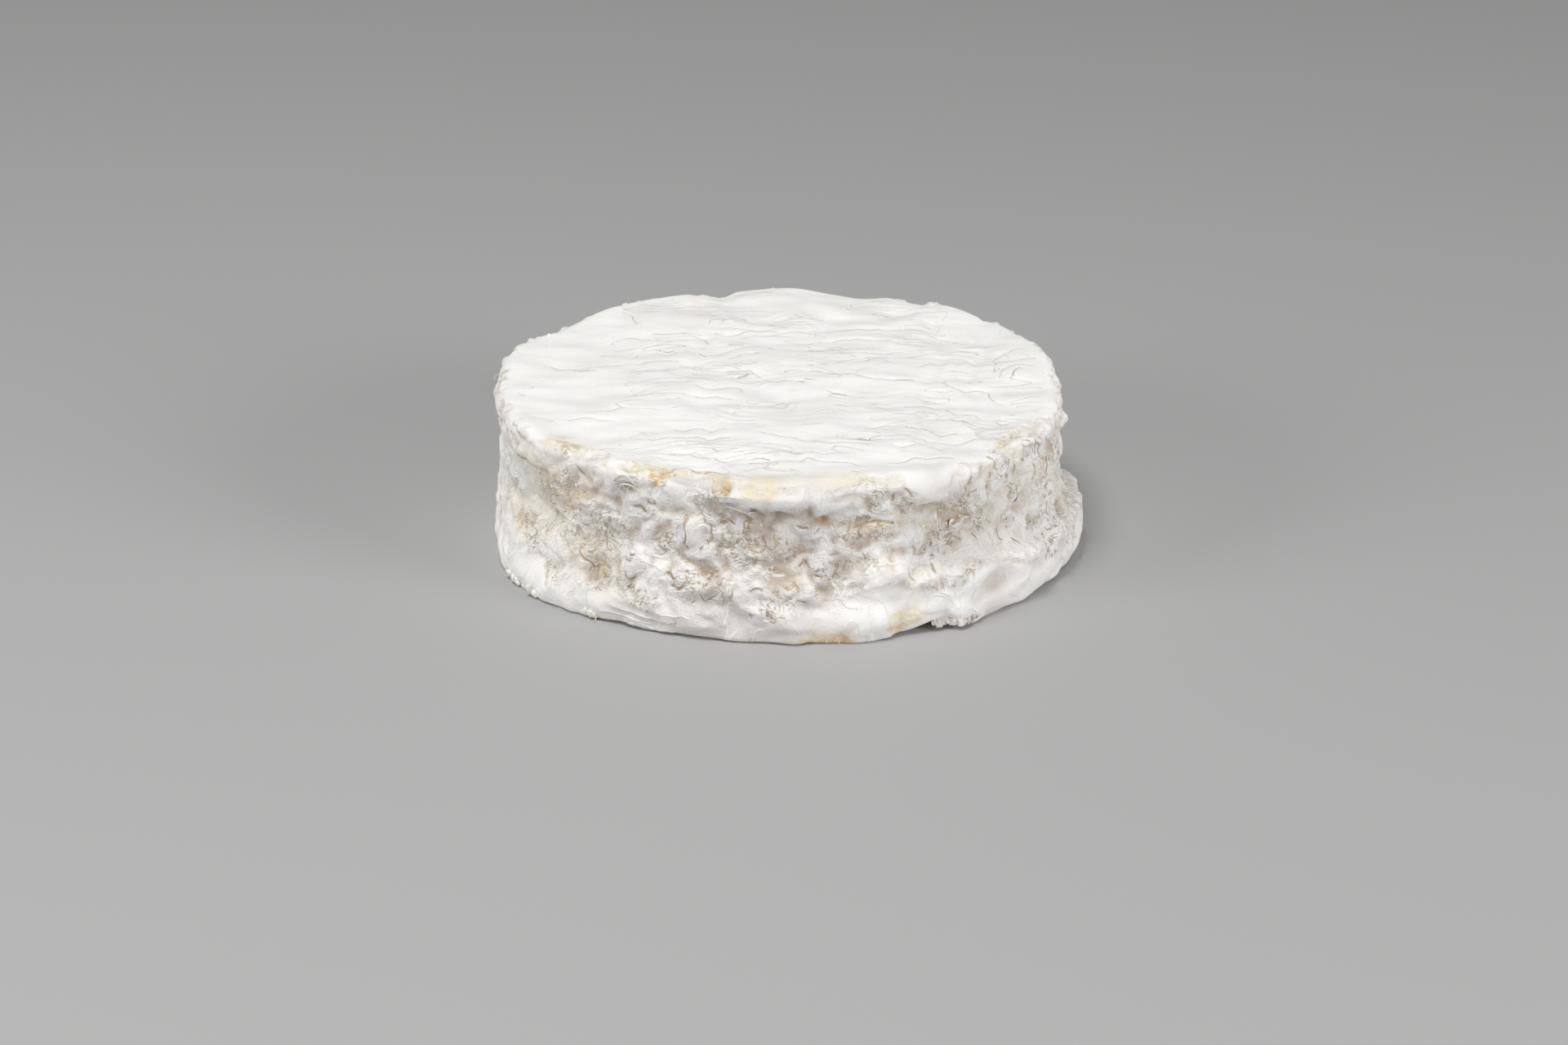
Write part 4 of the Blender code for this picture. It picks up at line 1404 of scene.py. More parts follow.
    # Seams traced on the top: sunk in, and drawn with grey painted shade.
    seams: tuple[Stroke, ...] = strokes(
        (1, -56.5, 9.8, -48.3, 8.1, -42.7, 10.4, -38, 10.6), (1, -37.2, 16.2, -34.6, 22.7, -29.9, 26.4),
        (1.2, -32.5, 32, -27.2, 33, -22.9, 32.4, -18.9, 29, -17.4, 26.2),
        (1.2, -32.6, 20.9, -27.8, 19.7, -25, 20.9, -21.6, 21.4, -19.9, 19),
        (1.2, -36.9, 12.7, -29.6, 14.4, -25.8, 13.9, -22.3, 9.8, -20.8, 7.1),
        (1.2, -36, 7.9, -31.3, 8.3, -27.5, 8.2, -24.7, 9),
        (1, -19.1, 12.7, -14.8, 13.6, -10.1, 17, -6.3, 18.2),
        (1.2, -20.2, 19, -17.3, 17, -12.5, 20.7, -5.9, 24.6, -1.1, 24.8),
        (1, -16.6, 32.7, -12.7, 31.4, -7.9, 34.5, -1.2, 35.5),
        (1, -15.8, 40, -10.9, 42.4, -4.6, 39.7, 0.3, 39.2),
        (1.2, -20.6, -5.2, -18.7, -7.2, -12.2, -4.9, -9.8, -4.8, -8.8, -7.5),
        (1, -20.9, -12, -16.7, -11.2, -12, -13),
        (1.5, -13.3, 7.4, -10.4, 6.1, -7.6, 6.9, -5.7, 2.9, -2.8, 0.3, 1.9, 1.1, 5.6, 1.3),
        (1.2, -16.9, 0.4, -10.8, 1.3, -8, 3.5), (1.4, -7.8, -17.5, -5, -17.4, -1.3, -14.6, 1, -11.1),
        (1, -49.6, -26.4, -43.1, -26.4, -38.5, -27.3),
        (1, -45.6, -22.3, -41.5, -21.5, -39.3, -19.4, -37.9, -18.7),
        (1, -36.3, -11.3, -28.8, -11.7, -21.9, -10.7),
        (1.4, -24.5, -33.3, -22.2, -33.9, -19.1, -32.4, -15.4, -33.6, -12.6, -33.1),
        (1.3, -24.8, -39.1, -20.3, -39.3, -16.2, -39.4, -11.6, -38.2),
        (1.4, -26.4, -48.1, -21.9, -47.3, -18.7, -48.5, -14.2, -50.2, -11.4, -53.2),
        (1.1, -34, -39.1, -28.9, -39.3, -26.2, -38.8), (1.3, -21.6, -43.5, -17.5, -44.3, -14.2, -46.4),
        (1.2, -9.2, -48.1, -5.1, -49.2, 0.7, -48.3, 6.2, -49.4),
        (1.2, -7.4, -53.7, -0.6, -54.1, 5.3, -53.2), (1.2, -8.2, -58.1, -2.4, -57.3, 3.9, -58.3),
        (1.2, -5.3, -36.4, -0.7, -38.2, 4.8, -38.6, 8.4, -40.4),
        (1, 4.8, 37.2, 11.1, 37.5, 17.4, 37, 35.3, 38.5), (1, 3.4, 27.8, 12.5, 29.6, 22.1, 29.3, 35.1, 27),
        (1, 6.7, 25.1, 11, 24.5, 14.4, 20.4), (1, 11.5, 26, 14.4, 25.4, 16.3, 21.2),
        (1.2, 0.6, 6.6, 5.3, 8.2, 7.7, 7.6, 13.8, 5),
        (1.3, 16.2, 4.5, 20.4, 3.9, 25.1, 2.8, 28.9, 2.2, 37.4, 2.6, 41.5, -1.4, 48.5, -2.5),
        (1, 16.7, 14.2, 23.4, 16.6, 27.2, 14.6), (1.1, 33.8, 12.1, 38.6, 15.1, 44.8, 16, 50, 13.5),
        (1.1, 28.6, -15.4, 32.3, -13.9, 35.1, -12.5, 38.8, -15, 42.4, -18.8, 47, -20),
        (1, 30.3, -20.6, 34.1, -17.8, 37.3, -19), (1, 10, -4, 12.4, -6.6, 16.1, -7.2),
        (1, 12.3, -14.7, 19.3, -15.8, 26.7, -16.8), (1, 50.8, 8.6, 53.4, 15.7, 57.3, 18, 62, 16),
        (1, 51.6, 4.5, 53.7, 10.8, 57.6, 13.8, 61.3, 12.5), (1, 52, 17, 54.6, 22.1, 59.5, 24.4),
        (1, 49.5, -2.4, 50.2, -7.8, 52.4, -10.4), (1, 21, -30.9, 24.7, -29.4, 28.3, -29.6),
        (1.2, 0.8, -38.8, 5.4, -38.6, 9, -41, 14.5, -42.1, 20.4, -42.5),
        (1.2, 20.4, -39.3, 26.4, -35.2, 32.7, -38.8, 39.6, -37.9, 46.6, -34.4, 50.3, -32.9),
        (1.2, 28.1, -45.4, 33.6, -41.3, 38.5, -43.7, 44, -44.8),
        (1.2, 0.9, -54, 6.3, -52.5, 11.3, -53, 18.9, -55.8),
        (1.2, 0.9, -46.4, 4.5, -47.6, 9.9, -48.6, 15.8, -47.8), (1, -41.3, 49.9, -38.3, 46.4, -35.2, 39.9),
    )
    stains: tuple[Stroke, ...] = strokes(
        (1, -8.2, 18.1, -4.4, 18.2), (1.2, -10.8, 2, -9, 3.4, -7.6, 4.9), (1, 3.5, 1.5, 5.6, 0.7),
        (0.8, -31.2, 22.4, -26.9, 22), (0.8, -51.1, 7.5, -45, 6.8), (0.8, -12.4, -21.7, -10.5, -21.6),
        (0.8, -6.9, -51.8, -3.3, -52.9), (1.1, -28.2, 7.5, -27.6, 7.3), (0.7, -40.7, 6.3, -37.9, 7.5),
        (0.9, 40, -22.9, 42.3, -23.1, 45, -25.1, 46.8, -25.5), (1, 50.2, -22.8, 53.9, -22.6),
        (0.9, 28.8, -30.9, 32, -31.3, 35.2, -31.6, 38.4, -32.8, 42.1, -31.7),
        (1, 55.2, 6, 55.7, 8.8, 57.5, 11.4, 58.2, 11), (1.4, 34.8, 37.7, 35.5, 37.5),
        (1.4, 22.8, -34.7, 23.4, -34.9),
        (
            *(1.1, -27.4, -61.5, -25.1, -57.5, -22.3, -55.4, -20.5, -54.6),
            *(-18.1, -55.4, -16.4, -57.2, -14.2, -59.7),
        ),
        (0.8, 25.2, -55.1, 28.8, -53.4, 32.5, -50.5, 37.1, -49.2, 39.3, -49.4, 41.5, -50.7, 44.2, -52.4),
    )
    hollows: tuple[Stroke, ...] = strokes((4.5, 7.2, 52.7, 12.1, 44.8, 23.8, 44.3, 30.7, 50.7))

    def _wall_relief(self, bearing: Array, down: Array, height: Array) -> tuple[Array, dict[Mask, Array]]:
        """Makes the fine relief of the wall, and its masks.

        Args:
            bearing: the bearing of each point.
            down: how far each lies down the section from the top's edge.
            height: how high each stands.

        Returns:
            How far the relief stands out, and the masks that follow it.
        """
        sheet = Sheet(*self.wall_size, *self.wall_cells, self.seed)
        across = bearing / 360.0 * sheet.width

        def read(wave: Wave) -> Array:
            """New waves, read at the points."""
            return sheet.at(sheet.waves(wave), across, down)

        stray_x, stray_y = read(self.stray), read(self.stray)
        place = (across + self.stray.height * stray_x, down + self.stray.height * stray_y)
        worms = sheet.worms(self.worms.pitch, *self.worm_growth)
        # under marks the lower sides of the worm ridges, where their dark lines are painted as shadow.
        under, worm = sheet.at(sheet.slope(worms), *place), sheet.at(worms, *place)
        folds, web, dimples, crumple = (
            sheet.at(sheet.waves(wave), *place) for wave in (self.folds, self.web, self.dimples, self.crumple)
        )
        folds = np.abs(folds) - 0.8

        scallops = sum(wave.height * read(wave) for wave in self.scallops)
        rim = self.rim_line + reach_out(self.rim_drops, bearing) + scallops
        skin = smooth((rim - down) / (0.5 * MM))
        bare = 1.0 - skin
        calm_line = np.interp(bearing, *zip(*self.calm_line)) * MM
        calm = smooth((calm_line + self.calm_stray.height * read(self.calm_stray) - height) / self.calm_fade)
        calm = np.maximum(calm, np.clip(total(self.smooth_patches, bearing, height), 0.0, 1.0))
        curly = smooth(0.15 + self.curly_spots.height * read(self.curly_spots))
        curly = np.maximum(curly, np.clip(total(self.curly_patches, bearing, height), 0.0, 1.0))
        rough = bare * (1.0 - 0.9 * calm)
        wormy = rough * curly
        clean = np.maximum(skin, 0.75 * calm)

        drawn_x, drawn_y = (
            along / MM + wave.height * read(wave) for along, wave in zip((across, height), self.drawn_stray)
        )
        degree = sheet.width / 360.0 / MM
        groove, groove_field = trace(self.grooves, drawn_x, drawn_y, degree)
        ridge, ridge_field = trace(self.ridges, drawn_x, drawn_y, degree)
        out = rough * (self.dimples.height * dimples + self.crumple.height * crumple)
        out += wormy * self.worms.height * worm
        folded = self.folds.height * folds + self.web.height * (0.8 - np.abs(web))
        out += bare * (1.0 - 0.3 * calm) * folded
        # The hollows are painted darker beige: partly their own tint, partly painted shade.
        low = smooth((0.02 * MM - out) / (0.72 * MM)) * (1.0 - clean)
        # The crests are painted whiter, a painted highlight, less on the skin and near the foot.
        crest = smooth((out - 0.05 * MM) / (0.5 * MM)) * (1.0 - 0.7 * skin)
        crest *= 1.0 - 0.4 * smooth((16 * MM - height) / (8 * MM))

        below = down - rim
        out += self.ridge_height * bell(ridge, 0.9) - self.groove_depth * bell(groove, 0.8) * bare
        out += self.groove_rim * bell(groove - 1.1, 0.7) * bare
        out += self.skin_thickness * skin - self.under_rim * bell(below - 0.7 * MM, 1.0 * MM)
        chip = smooth(below / (1.4 * MM)) * smooth((5 * MM - down) / (5 * MM))
        out -= reach_out(self.chips, bearing) * chip
        band = bell(below - 0.8 * MM, 1.5 * MM)
        spots = smooth(self.tint_spots.height * read(self.tint_spots) + 0.1)
        return out, {
            Mask.WORM: np.where(skin > 0.5, 2.0, worm + 1.5 * smooth((0.55 - wormy) / 0.4)),
            Mask.UNDER: under,
            Mask.LOW: low,
            Mask.CREST: crest,
            Mask.CREASE: np.where(skin > 0.5, 3.0, web),
            Mask.GROOVE: groove_field,
            Mask.RIDGE: ridge_field,
            Mask.CURLY: curly * rough,
            Mask.SKIN: clean,
            Mask.CREAM: band * (reach_out(self.edge_tints, bearing) + 0.45 * spots),
        }

    def _top_relief(self, points: Array) -> tuple[Array, dict[Mask, Array]]:
        """Makes the ribs of the top.

        Args:
            points: the points of the cheese.

        Returns:
            How far the ribs stand up, and the fields whose zeros are the seams between them.
        """
        sheet = Sheet(self.top_side, self.top_side, self.top_cells, self.top_cells, self.seed + 1)
        x, y = points[:, 0], points[:, 1]

        def read(wave: Wave, up: Array = y) -> Array:
            """New waves, read at the points."""
            return sheet.at(sheet.waves(wave), x, up)

        stray, bend = read(self.top_stray), read(self.top_bend)
        strayed = y + self.top_stray.height * stray + self.top_bend.height * bend
        swirl = bell(x + 6.5 * MM, 6 * MM) + 0.7 * bell(x - 1.0 * MM, 5 * MM)
        strayed += self.swirl * swirl * bell(y + 5 * MM, 32 * MM)
        rib, fine = read(self.ribs, strayed), read(self.fine_ribs, strayed)
        strength = smooth(0.55 + self.rib_spots.height * read(self.rib_spots))
        strength *= 1.0 - 0.7 * smooth((-30 * MM - x) / (14 * MM))
        near = smooth((-20 * MM - y) / (25 * MM))
        up = self.rib_crease * (smooth(np.abs(rib) / 0.7) - 1.0) + self.ribs.height * rib
        up = strength * (up + (self.fine_ribs.height + 0.025 * near) * MM * fine)

        wander = read(self.top_wander)
        drawn = (x / MM + 0.4 * stray, y / MM + self.top_wander.height * wander)
        seam, seam_field = trace(self.seams, *drawn, 1.0)
        stain, stain_field = trace(self.stains, *drawn, 1.0)
        hollow, _ = trace(self.hollows, x / MM, y / MM, 1.0)
        up -= self.seam_depth * bell(seam, 1.0) + self.stain_depth * bell(stain, 0.9)
        up += self.seam_rim * bell(seam - 1.9, 1.3) - self.hollow_depth * bell(hollow, 1.0)
        up += self.top_lumps.height * read(self.top_lumps)
        faded = 1.0 - strength
        return up, {
            Mask.RIB: rib + 3.0 * smooth((faded - 0.5) / 0.4),
            Mask.RIPPLE: fine + 3.0 * smooth((faded - 0.3) / 0.4),
            Mask.SEAM: seam_field,
            Mask.GROOVE: stain_field,
        }

    def build(self) -> tuple[bpy.types.Object, Surface]:
        """Builds the rind as one closed mesh, with its masks.

        Returns:
            The rind's object, and where its skin lies.
        """
        rind = self.drum.make_mesh("rind_body")
        mesh = rind.data
        placed, bearing, down, sunk = self.drum.place(read_points(mesh))
        write_points(mesh, placed)
        normals = read_normals(mesh)
        height = placed[:, 2]
        wall, masks = self._wall_relief(bearing, down, height)
        top, seams = self._top_relief(placed)
        reach = np.hypot(placed[:, 0], placed[:, 1])
        on_top = smooth((self.drum.rim_round * 0.9 - down) / self.drum.rim_round) * (height > 20 * MM)
        near_wall = smooth(1.0 + down / (8 * MM))
        in_base = (normals[:, 2] < -0.9) & (height < 1.0 * MM)
        on_wall = np.where(in_base, 0.0, near_wall * smooth(height / (1.0 * MM) + 0.2))
        relief = wall * on_wall + top * on_top * (1.0 - 0.7 * smooth((reach - 56 * MM) / (9 * MM)))
        placed += normals * relief[:, None]
        placed[:, 2] = np.maximum(placed[:, 2], 0.0)

        # The hollows' painted shade fades towards the sides, and grows where the forms and lumps sink the wall
        # in.
        masks[Mask.LOW] *= 0.8 - 0.4 * smooth((np.abs(turn(bearing, 0.0)) - 36) / 16)
        masks[Mask.LOW] += 0.4 * smooth(-sunk / (2.4 * MM)) * (1.0 - masks[Mask.SKIN])
        for mask, values in seams.items():
            masks[mask] = np.where(down < -1 * MM, values, masks.get(mask, FAR))
        for mask in (Mask.RIDGE, Mask.WORM):
            masks[mask] = np.where(down > -3 * MM, masks[mask], FAR)
        x, y = placed[:, 0], placed[:, 1]
        at = (bearing + 1.8 * wavy(placed, 6 * MM, 21.0), height + 1.4 * MM * wavy(placed, 5 * MM, 22.0))
        slits = sum(bell(x - sx, w) * bell(y - sy, h) for sx, sy, w, h in self.top_slits) * (on_top > 0.5)
        for mask, items in (
            (Mask.LOW, self.low_tint_and_shade_patches),
            (Mask.ASH, self.painted_shade_patches),
            (Mask.CREAM, self.cream_patches),
            (Mask.TAN, self.tan_patches),
            (Mask.OCHRE, self.ochre_patches),
            (Mask.RUST, self.rust_patches),
        ):
            patch = total(items, *at) * smooth(1.0 + down / (5 * MM))
            masks[mask] = np.clip(masks.get(mask, 0.0) * near_wall + patch, 0.0, 1.0)
        masks[Mask.CREAM] += 0.5 * slits
        masks[Mask.SKIN] = np.maximum(masks[Mask.SKIN], 1.0 - near_wall)

        placed += (*self.drum.axis, 0.0)
        write_points(mesh, placed)
        for mask, values in masks.items():
            store(mesh, mask, values)
        mesh.shade_smooth()
        return rind, Surface(placed, read_normals(mesh), bearing)


@dataclass
class Surface:
    """Where the rind's skin lies, so that smaller pieces can be set on it.

    Args:
        points: the rind's points.
        normals: its outward direction at each.
        bearing: the bearing of each.
    """

    points: Array
    normals: Array
    bearing: Array

    def wall(self, bearing: float, height: float) -> tuple[Vector, Vector]:
        """Finds a place on the wall.

        Args:
            bearing: its bearing.
            height: its height.

        Returns:
            The rind's nearest point there, and its outward direction.
        """
        outer = np.hypot(self.points[:, 0], self.points[:, 1]) > 60 * MM
        miss = np.hypot(turn(self.bearing, bearing) * DEGREE, self.points[:, 2] - height)
        nearest = int(np.argmin(np.where(outer, miss, np.inf)))
        return Vector(self.points[nearest]), Vector(self.normals[nearest])


def join(pieces: list[bpy.types.Object], name: str) -> bpy.types.Object:
    """Joins objects into one, shaded smooth.

    Args:
        pieces: the objects.
        name: the name of the whole.

    Returns:
        The whole.
    """
    bpy.ops.object.select_all(action="DESELECT")
    for piece in pieces:
        piece.select_set(True)
    bpy.context.view_layer.objects.active = pieces[0]
    if len(pieces) > 1:
        bpy.ops.object.join()
    joined = bpy.context.active_object
    joined.name = joined.data.name = name
    joined.data.shade_smooth()
    return joined


def frame_of(outward: Vector, spin: float) -> Array:
    """Works out how a small thing is turned that lies on a surface.

    Args:
        outward: the surface's outward direction.
        spin: how far the thing is turned about it.

    Returns:
        Three directions as rows: two along the surface and the outward one.
    """
    side = Vector((0.0, 0.0, 1.0)).cross(outward)
    side = side.normalized() if side.length > 1.0e-3 else Vector((1.0, 0.0, 0.0))
    up = outward.cross(side)
    along = side * math.cos(spin) + up * math.sin(spin)
    return np.array((along, outward.cross(along), outward))


def thicken(sheet: bpy.types.Object, thickness: float) -> None:
    """Gives an open sheet a thickness, with its faces pointing outwards.

    Args:
        sheet: the sheet.
        thickness: how thick it becomes, half on each side.
    """
    bpy.ops.object.select_all(action="DESELECT")
    sheet.select_set(True)
    bpy.context.view_layer.objects.active = sheet
    shell = sheet.modifiers.new("shell", "SOLIDIFY")
    shell.thickness = thickness
    shell.offset = 0.0
    bpy.ops.object.modifier_apply(modifier=shell.name)
    bpy.ops.object.mode_set(mode="EDIT")
    bpy.ops.mesh.select_all(action="SELECT")
    bpy.ops.mesh.normals_make_consistent(inside=False)
    bpy.ops.object.mode_set(mode="OBJECT")


@dataclass
class Crumbs:
    """Crumbs of curd and mould that cling to the rim and the foot.

    Args:
        places: bearing, height in millimetres and size in millimetres of each group's middle.
        per_place: how many crumbs lie in a group.
        scatter: how far they lie from its middle.
        squash: the least and greatest length, width and height of a crumb, against its radius.
        seed: the seed of their shapes and places.
    """

    places: Rows = (
        (-60.5, 0.8, 3.2), (-53, 0.7, 3.6), (-38, 0.8, 2.8), (-118, 38.5, 1.1), (-112, 38.8, 0.9),
        (-86, 30, 0.6), (92, 36.5, 0.9), (128, 38, 0.9), (168, 1.2, 1.2), (214, 38, 0.9), (9.5, 0.8, 0.5),
    )
    per_place: int = 4
    scatter: float = 1.5 * MM
    squash: Rows = ((0.9, 1.5), (0.7, 1.1), (0.5, 0.8))
    seed: int = 11

    def build(self, surface: Surface) -> bpy.types.Object:
        """Builds the crumbs as one mesh of small closed lumps.

        Args:
            surface: where the rind's skin lies.

        Returns:
            The crumbs' object.
        """
        random = np.random.default_rng(self.seed)
        made = []
        for bearing, height, size in self.places:
            for i in range(self.per_place):
                off_bearing, off_height = random.normal(0.0, self.scatter, 2)
                middle, outward = surface.wall(
                    bearing + off_bearing / DEGREE, max(height * MM + 0.5 * off_height, 0.4 * MM)
                )
                bpy.ops.mesh.primitive_ico_sphere_add(subdivisions=2, radius=1.0, location=(0.0, 0.0, 0.0))
                crumb = bpy.context.active_object
                points = read_points(crumb.data)
                shape = 1.0 + 0.45 * wavy(points, 0.9, float(random.uniform(0.0, 50.0)))
                radius = 0.5 * size * MM * random.uniform(0.35, 0.75) * (1.6 if i == 0 else 1.0)
                scale = radius * np.array([random.uniform(*span) for span in self.squash])
                turned = points * shape[:, None] * scale @ frame_of(outward, random.uniform(0.0, math.tau))
                placed = turned + np.array(middle + outward * radius * 0.35)
                placed[:, 2] += max(0.0, 0.02 * MM - placed[:, 2].min())
                write_points(crumb.data, placed)
                made.append(crumb)
        return join(made, "crumbs")


@dataclass
class Flakes:
    """Thin curled flakes of dried rind that stand off the wall.

    Args:
        places: bearing, height, length and width in millimetres, spin in degrees and curl of each flake.
        thickness: how thick a flake is.
        seed: the seed of their ragged edges.
    """

    places: Rows = (
        (-31.5, 36.4, 5, 1.5, 5, 0.5), (-31, 34.8, 3.8, 1.2, -5, 0.6), (-8.5, 32.6, 2.6, 1, 8, 0.5),
        (-5.6, 31.8, 2.2, 0.8, -14, 0.6), (2.5, 28.9, 2.4, 0.7, -12, 0.5), (5.5, 28.2, 1.6, 0.6, -8, 0.5),
        (-23.5, 36.2, 1.6, 1, 30, 0.6), (-16.5, 34.6, 1.8, 1, 60, 0.6), (36.5, 24.5, 2, 0.9, 20, 0.5),
        (40, 27.5, 1.8, 0.8, -25, 0.6), (57, 24, 2.2, 0.9, 15, 0.5), (-58.5, 22, 2, 0.8, 60, 0.5),
        (-44, 30.5, 1.8, 0.8, 35, 0.5), (-26.5, 5.5, 2.2, 0.9, -20, 0.4), (-20.5, 3.6, 1.8, 0.8, 5, 0.4),
        (96, 27, 2.2, 0.9, 35, 0.5), (122, 18, 2, 0.9, -20, 0.5), (155, 31, 2.6, 1, 10, 0.5),
        (190, 24, 2.2, 0.9, 25, 0.5), (226, 33, 2.4, 1, -10, 0.5), (250, 20, 2, 0.8, 40, 0.5),
    )
    thickness: float = 0.16 * MM
    seed: int = 23

    def build(self, surface: Surface) -> bpy.types.Object:
        """Builds the flakes as one mesh of small closed shells.

        Args:
            surface: where the rind's skin lies.

        Returns:
            The flakes' object.
        """
        random = np.random.default_rng(self.seed)
        made = []
        for bearing, height, length, width, spin, curl in self.places:
            middle, outward = surface.wall(bearing, height * MM)
            flake = add_grid(9, 4)
            u, v, _ = read_points(flake.data).T
            ragged = 1.0 + 0.3 * wavy(np.column_stack((u, v, 0.0 * u)), 0.5, float(random.uniform(0.0, 50.0)))
            narrow = np.sqrt(np.maximum(1.0 - 0.85 * u * u, 0.0)) * ragged
            along, across = 0.5 * length * MM * u, 0.5 * width * MM * v * narrow
            bow = -0.2 * length * MM * u * u
            lift = width * MM * (curl * np.maximum(v, -0.4) ** 2 + 0.12)
            local = np.column_stack((along, across + bow, lift - 0.35 * width * MM * (v < -0.5)))
            write_points(flake.data, local @ frame_of(outward, math.radians(spin)) + np.array(middle))
            thicken(flake, self.thickness)
            made.append(flake)
        return join(made, "flakes")


@dataclass
class Hairs:
    """A few stray fibres at the foot and the rim.

    Args:
        places: bearing, height and length in millimetres, and lean in degrees of each fibre.
        radius: the fibre's radius.
        parts: the straight parts of each.
        bend: how much they bend.
        rooted: how deep they are set in the rind.
        seed: the seed of their bends.
    """

    places: Rows = (
        (-36, 1.6, 4.6, -25), (-36.6, 2, 3, 20), (-101, 36, 3, 35), (-64, 0.8, 2.6, -40),
        (104, 34, 2.4, 20), (205, 1.4, 3.6, 15),
    )
    radius: float = 0.07 * MM
    parts: int = 7
    bend: float = 0.25
    rooted: float = 0.2 * MM
    seed: int = 31

    def build(self, surface: Surface) -> bpy.types.Object:
        """Builds the fibres as one mesh of thin closed tubes.

        Args:
            surface: where the rind's skin lies.

        Returns:
            The fibres' object.
        """
        random = np.random.default_rng(self.seed)
        made = []
        for bearing, height, length, lean in self.places:
            root, outward = surface.wall(bearing, height * MM)
            turned = frame_of(outward, math.radians(lean))
            curve = bpy.data.curves.new("hair", "CURVE")
            curve.dimensions = "3D"
            curve.bevel_depth = self.radius
            curve.bevel_resolution = 0
            curve.use_fill_caps = True
            line = curve.splines.new("POLY")
            line.points.add(self.parts)
            bend = random.normal(0.0, self.bend, 2)
            for i, point in enumerate(line.points):
                t = i / self.parts
                local = np.array((bend[0] * t * t, -t + bend[1] * t * t, 0.55 * math.sin(2.2 * t) + 0.1 * t))
                at = np.array(root) - turned[2] * self.rooted + length * MM * (local @ turned)
                at[2] = max(at[2], 0.12 * MM)
                point.co = (*at, 1.0)
            hair = bpy.data.objects.new("hair", curve)
            bpy.context.scene.collection.objects.link(hair)
            made.append(hair)
        bpy.ops.object.select_all(action="DESELECT")
        for hair in made:
            hair.select_set(True)
        bpy.context.view_layer.objects.active = made[0]
        bpy.ops.object.convert(target="MESH")
        return join(made, "hairs")


@dataclass
class Fringe:
    """The torn skin that hangs from the foot beside its lifted edge.

    Args:
        start: the bearing where it begins.
        end: the bearing where it ends.
        top: how high it starts.
        reach: how far out its lower edge stands.
        teeth: how far its torn edge is cut in.
        thickness: how thick the skin is.
        seed: the seed of the torn edge.
    """

    start: float = 30.5
    end: float = 40.5
    top: float = 3.4 * MM
    reach: float = 0.5 * MM
    teeth: float = 1.7 * MM
    thickness: float = 0.3 * MM
    seed: int = 3

    def build(self, surface: Surface) -> bpy.types.Object:
        """Builds the fringe as one closed shell.

        Args:
            surface: where the rind's skin lies.

        Returns:
            The fringe's object.
        """
        fringe = add_grid(44, 10)
        grid = read_points(fringe.data)
        u, down = 0.5 + 0.5 * grid[:, 0], 0.5 - 0.5 * grid[:, 1]
        bearing = self.start + (self.end - self.start) * u
        root = np.array([surface.wall(float(b), self.top)[0] for b in np.unique(bearing)])
        root = root[np.unique(bearing, return_inverse=True)[1]]
        outward = directions(bearing)
        edge = np.column_stack((bearing * DEGREE, 0.0 * bearing, 0.0 * bearing))
        torn = 0.5 + 0.6 * wavy(edge, 1.6 * MM, self.seed) + 0.5 * wavy(edge, 0.6 * MM, self.seed + 1.0)
        torn = np.clip(torn, 0.0, 1.0) * self.teeth + 1.2 * MM * smooth((np.abs(u - 0.5) - 0.36) / 0.14)
        fall = self.top - 0.1 * MM - torn
        bulge = self.reach * np.sin(0.5 * math.pi * down) ** 1.5 - 0.8 * MM * (1.0 - down)
        edge += np.column_stack((0 * u, down * MM, 0 * u))
        creased = 0.25 * MM * wavy(edge, 1.4 * MM, self.seed + 2.0)
        points = root + outward * (bulge + creased * down)[:, None]
        points[:, 2] = self.top - fall * down
        write_points(fringe.data, points)
        thicken(fringe, self.thickness)
        points = read_points(fringe.data)
        points[:, 2] = np.maximum(points[:, 2], 0.02 * MM)
        write_points(fringe.data, points)
        return join([fringe], "flap_fringe")


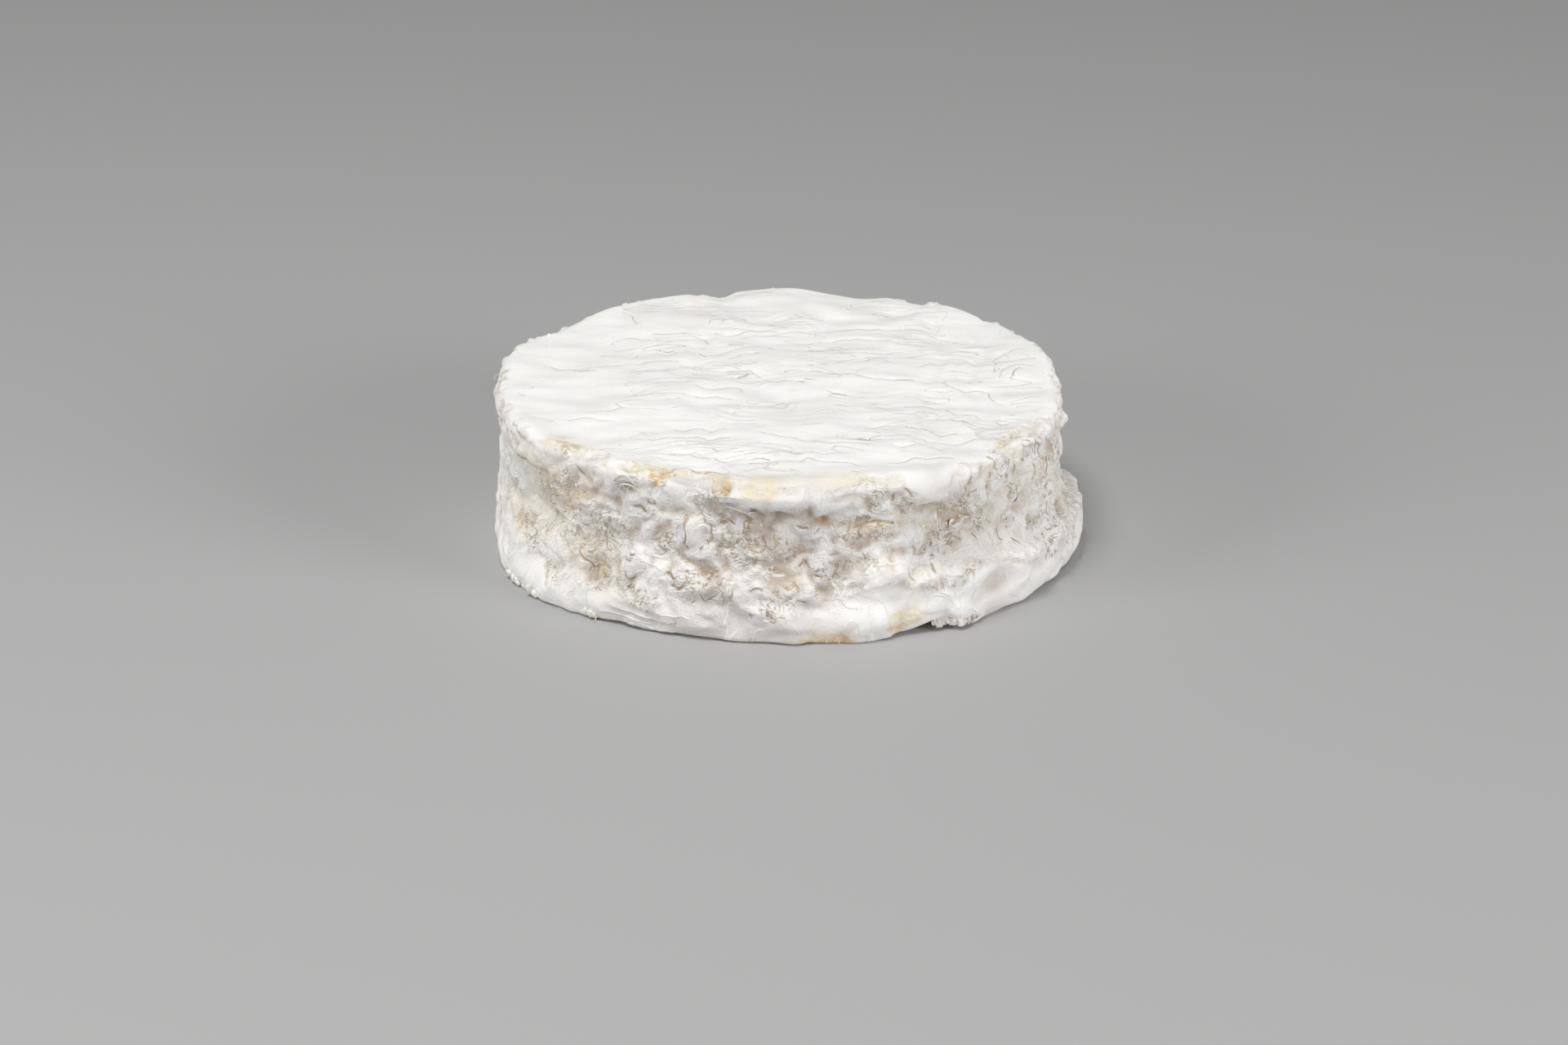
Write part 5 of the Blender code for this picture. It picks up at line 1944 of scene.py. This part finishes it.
@dataclass
class Studio:
    """A plain pale floor, soft lights and the camera. A light holds its name, place, width and power."""

    floor_size: float = 8.0
    floor_colour: Colour = (0.42, 0.42, 0.42, 1.0)
    world_colour: Colour = (0.92, 0.91, 0.90, 1.0)
    world_strength: float = 0.26
    camera_place: tuple[float, float, float] = (1.1 * MM, -1106.2 * MM, 443.5 * MM)
    camera_right: tuple[float, float, float] = (0.99990379, 0.00513673, 0.01288536)
    camera_up: tuple[float, float, float] = (-0.0138715, 0.37027252, 0.9288196)
    lens: float = 112.68
    sensor: float = 36.0
    lights: tuple[tuple[str, tuple[float, float, float], float, float], ...] = (
        ("key", (-0.25, -0.35, 1.15), 0.45, 7.8),
        ("left fill", (-1.2, -0.75, 0.5), 0.7, 8.2),
        ("right fill", (1.2, -0.75, 0.45), 0.7, 11.6),
    )

    def build(self, axis: tuple[float, float]) -> None:
        """Makes the floor, lights, world and camera.

        Args:
            axis: where the cheese's own axis stands.
        """
        bpy.ops.object.select_all(action="DESELECT")
        bpy.ops.mesh.primitive_plane_add(size=self.floor_size, location=(0.0, 0.0, 0.0))
        floor = bpy.context.active_object
        floor.name = "floor"
        material = bpy.data.materials.new("pale floor")
        material.use_nodes = True
        shader = material.node_tree.nodes["Principled BSDF"]
        shader.inputs["Base Color"].default_value = self.floor_colour
        shader.inputs["Roughness"].default_value = 0.75
        floor.data.materials.append(material)

        world = bpy.context.scene.world or bpy.data.worlds.new("soft room")
        bpy.context.scene.world = world
        world.use_nodes = True
        background = world.node_tree.nodes["Background"]
        background.inputs["Color"].default_value = self.world_colour
        background.inputs["Strength"].default_value = self.world_strength
        for name, place, size, power in self.lights:
            lamp = bpy.data.lights.new(name, "AREA")
            lamp.shape = "DISK"
            lamp.size = size
            lamp.energy = power
            holder = bpy.data.objects.new(name, lamp)
            holder.location = place
            holder.rotation_euler = (-Vector(place)).to_track_quat("-Z", "Y").to_euler()
            bpy.context.scene.collection.objects.link(holder)

        camera = bpy.data.objects.new("camera", bpy.data.cameras.new("camera"))
        camera.data.lens = self.lens
        camera.data.sensor_width = self.sensor
        right, up = Vector(self.camera_right), Vector(self.camera_up)
        camera.matrix_world = Matrix((right, up, right.cross(up))).transposed().to_4x4()
        camera.location = Vector(self.camera_place) + Vector((*axis, 0.0))
        bpy.context.scene.collection.objects.link(camera)
        bpy.context.scene.camera = camera
        bpy.context.scene.view_settings.view_transform = "Standard"


def ride(piece: bpy.types.Object) -> None:
    """Makes a piece move with the cheese, take its slot and stand for its solid, and reports it.

    Args:
        piece: the piece.
    """
    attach(piece, "root")
    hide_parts(NODE)
    LOG.info("%s: %d points", piece.name, len(piece.data.vertices))


def main() -> None:
    """Builds the studio and the cheese, piece by piece."""
    shared = Finishes.make()
    drum = Drum()
    Studio().build(drum.axis)
    rind = Rind(drum, RindFinish())
    body, surface = rind.build()
    body.data.materials.append(rind.finish.make("rind", shared))
    ride(body)
    curd = CurdFinish().make("torn curd", shared)
    # The torn skin's curd is a darker copy of the crumbs' curd: painted shade, for it hangs in shadow under the
    # lifted edge.
    torn = CurdFinish(pale=(0.68, 0.65, 0.61, 1.0), warm=(0.58, 0.50, 0.40, 1.0)).make("torn skin", shared)
    for kind, finish in ((Fringe(), torn), (Crumbs(), curd), (Flakes(), curd), (Hairs(), curd)):
        piece = kind.build(surface)
        piece.data.materials.clear()
        piece.data.materials.append(finish)
        ride(piece)


if __name__ == "__main__":
    logging.basicConfig(level=logging.INFO, format="%(message)s")
    main()
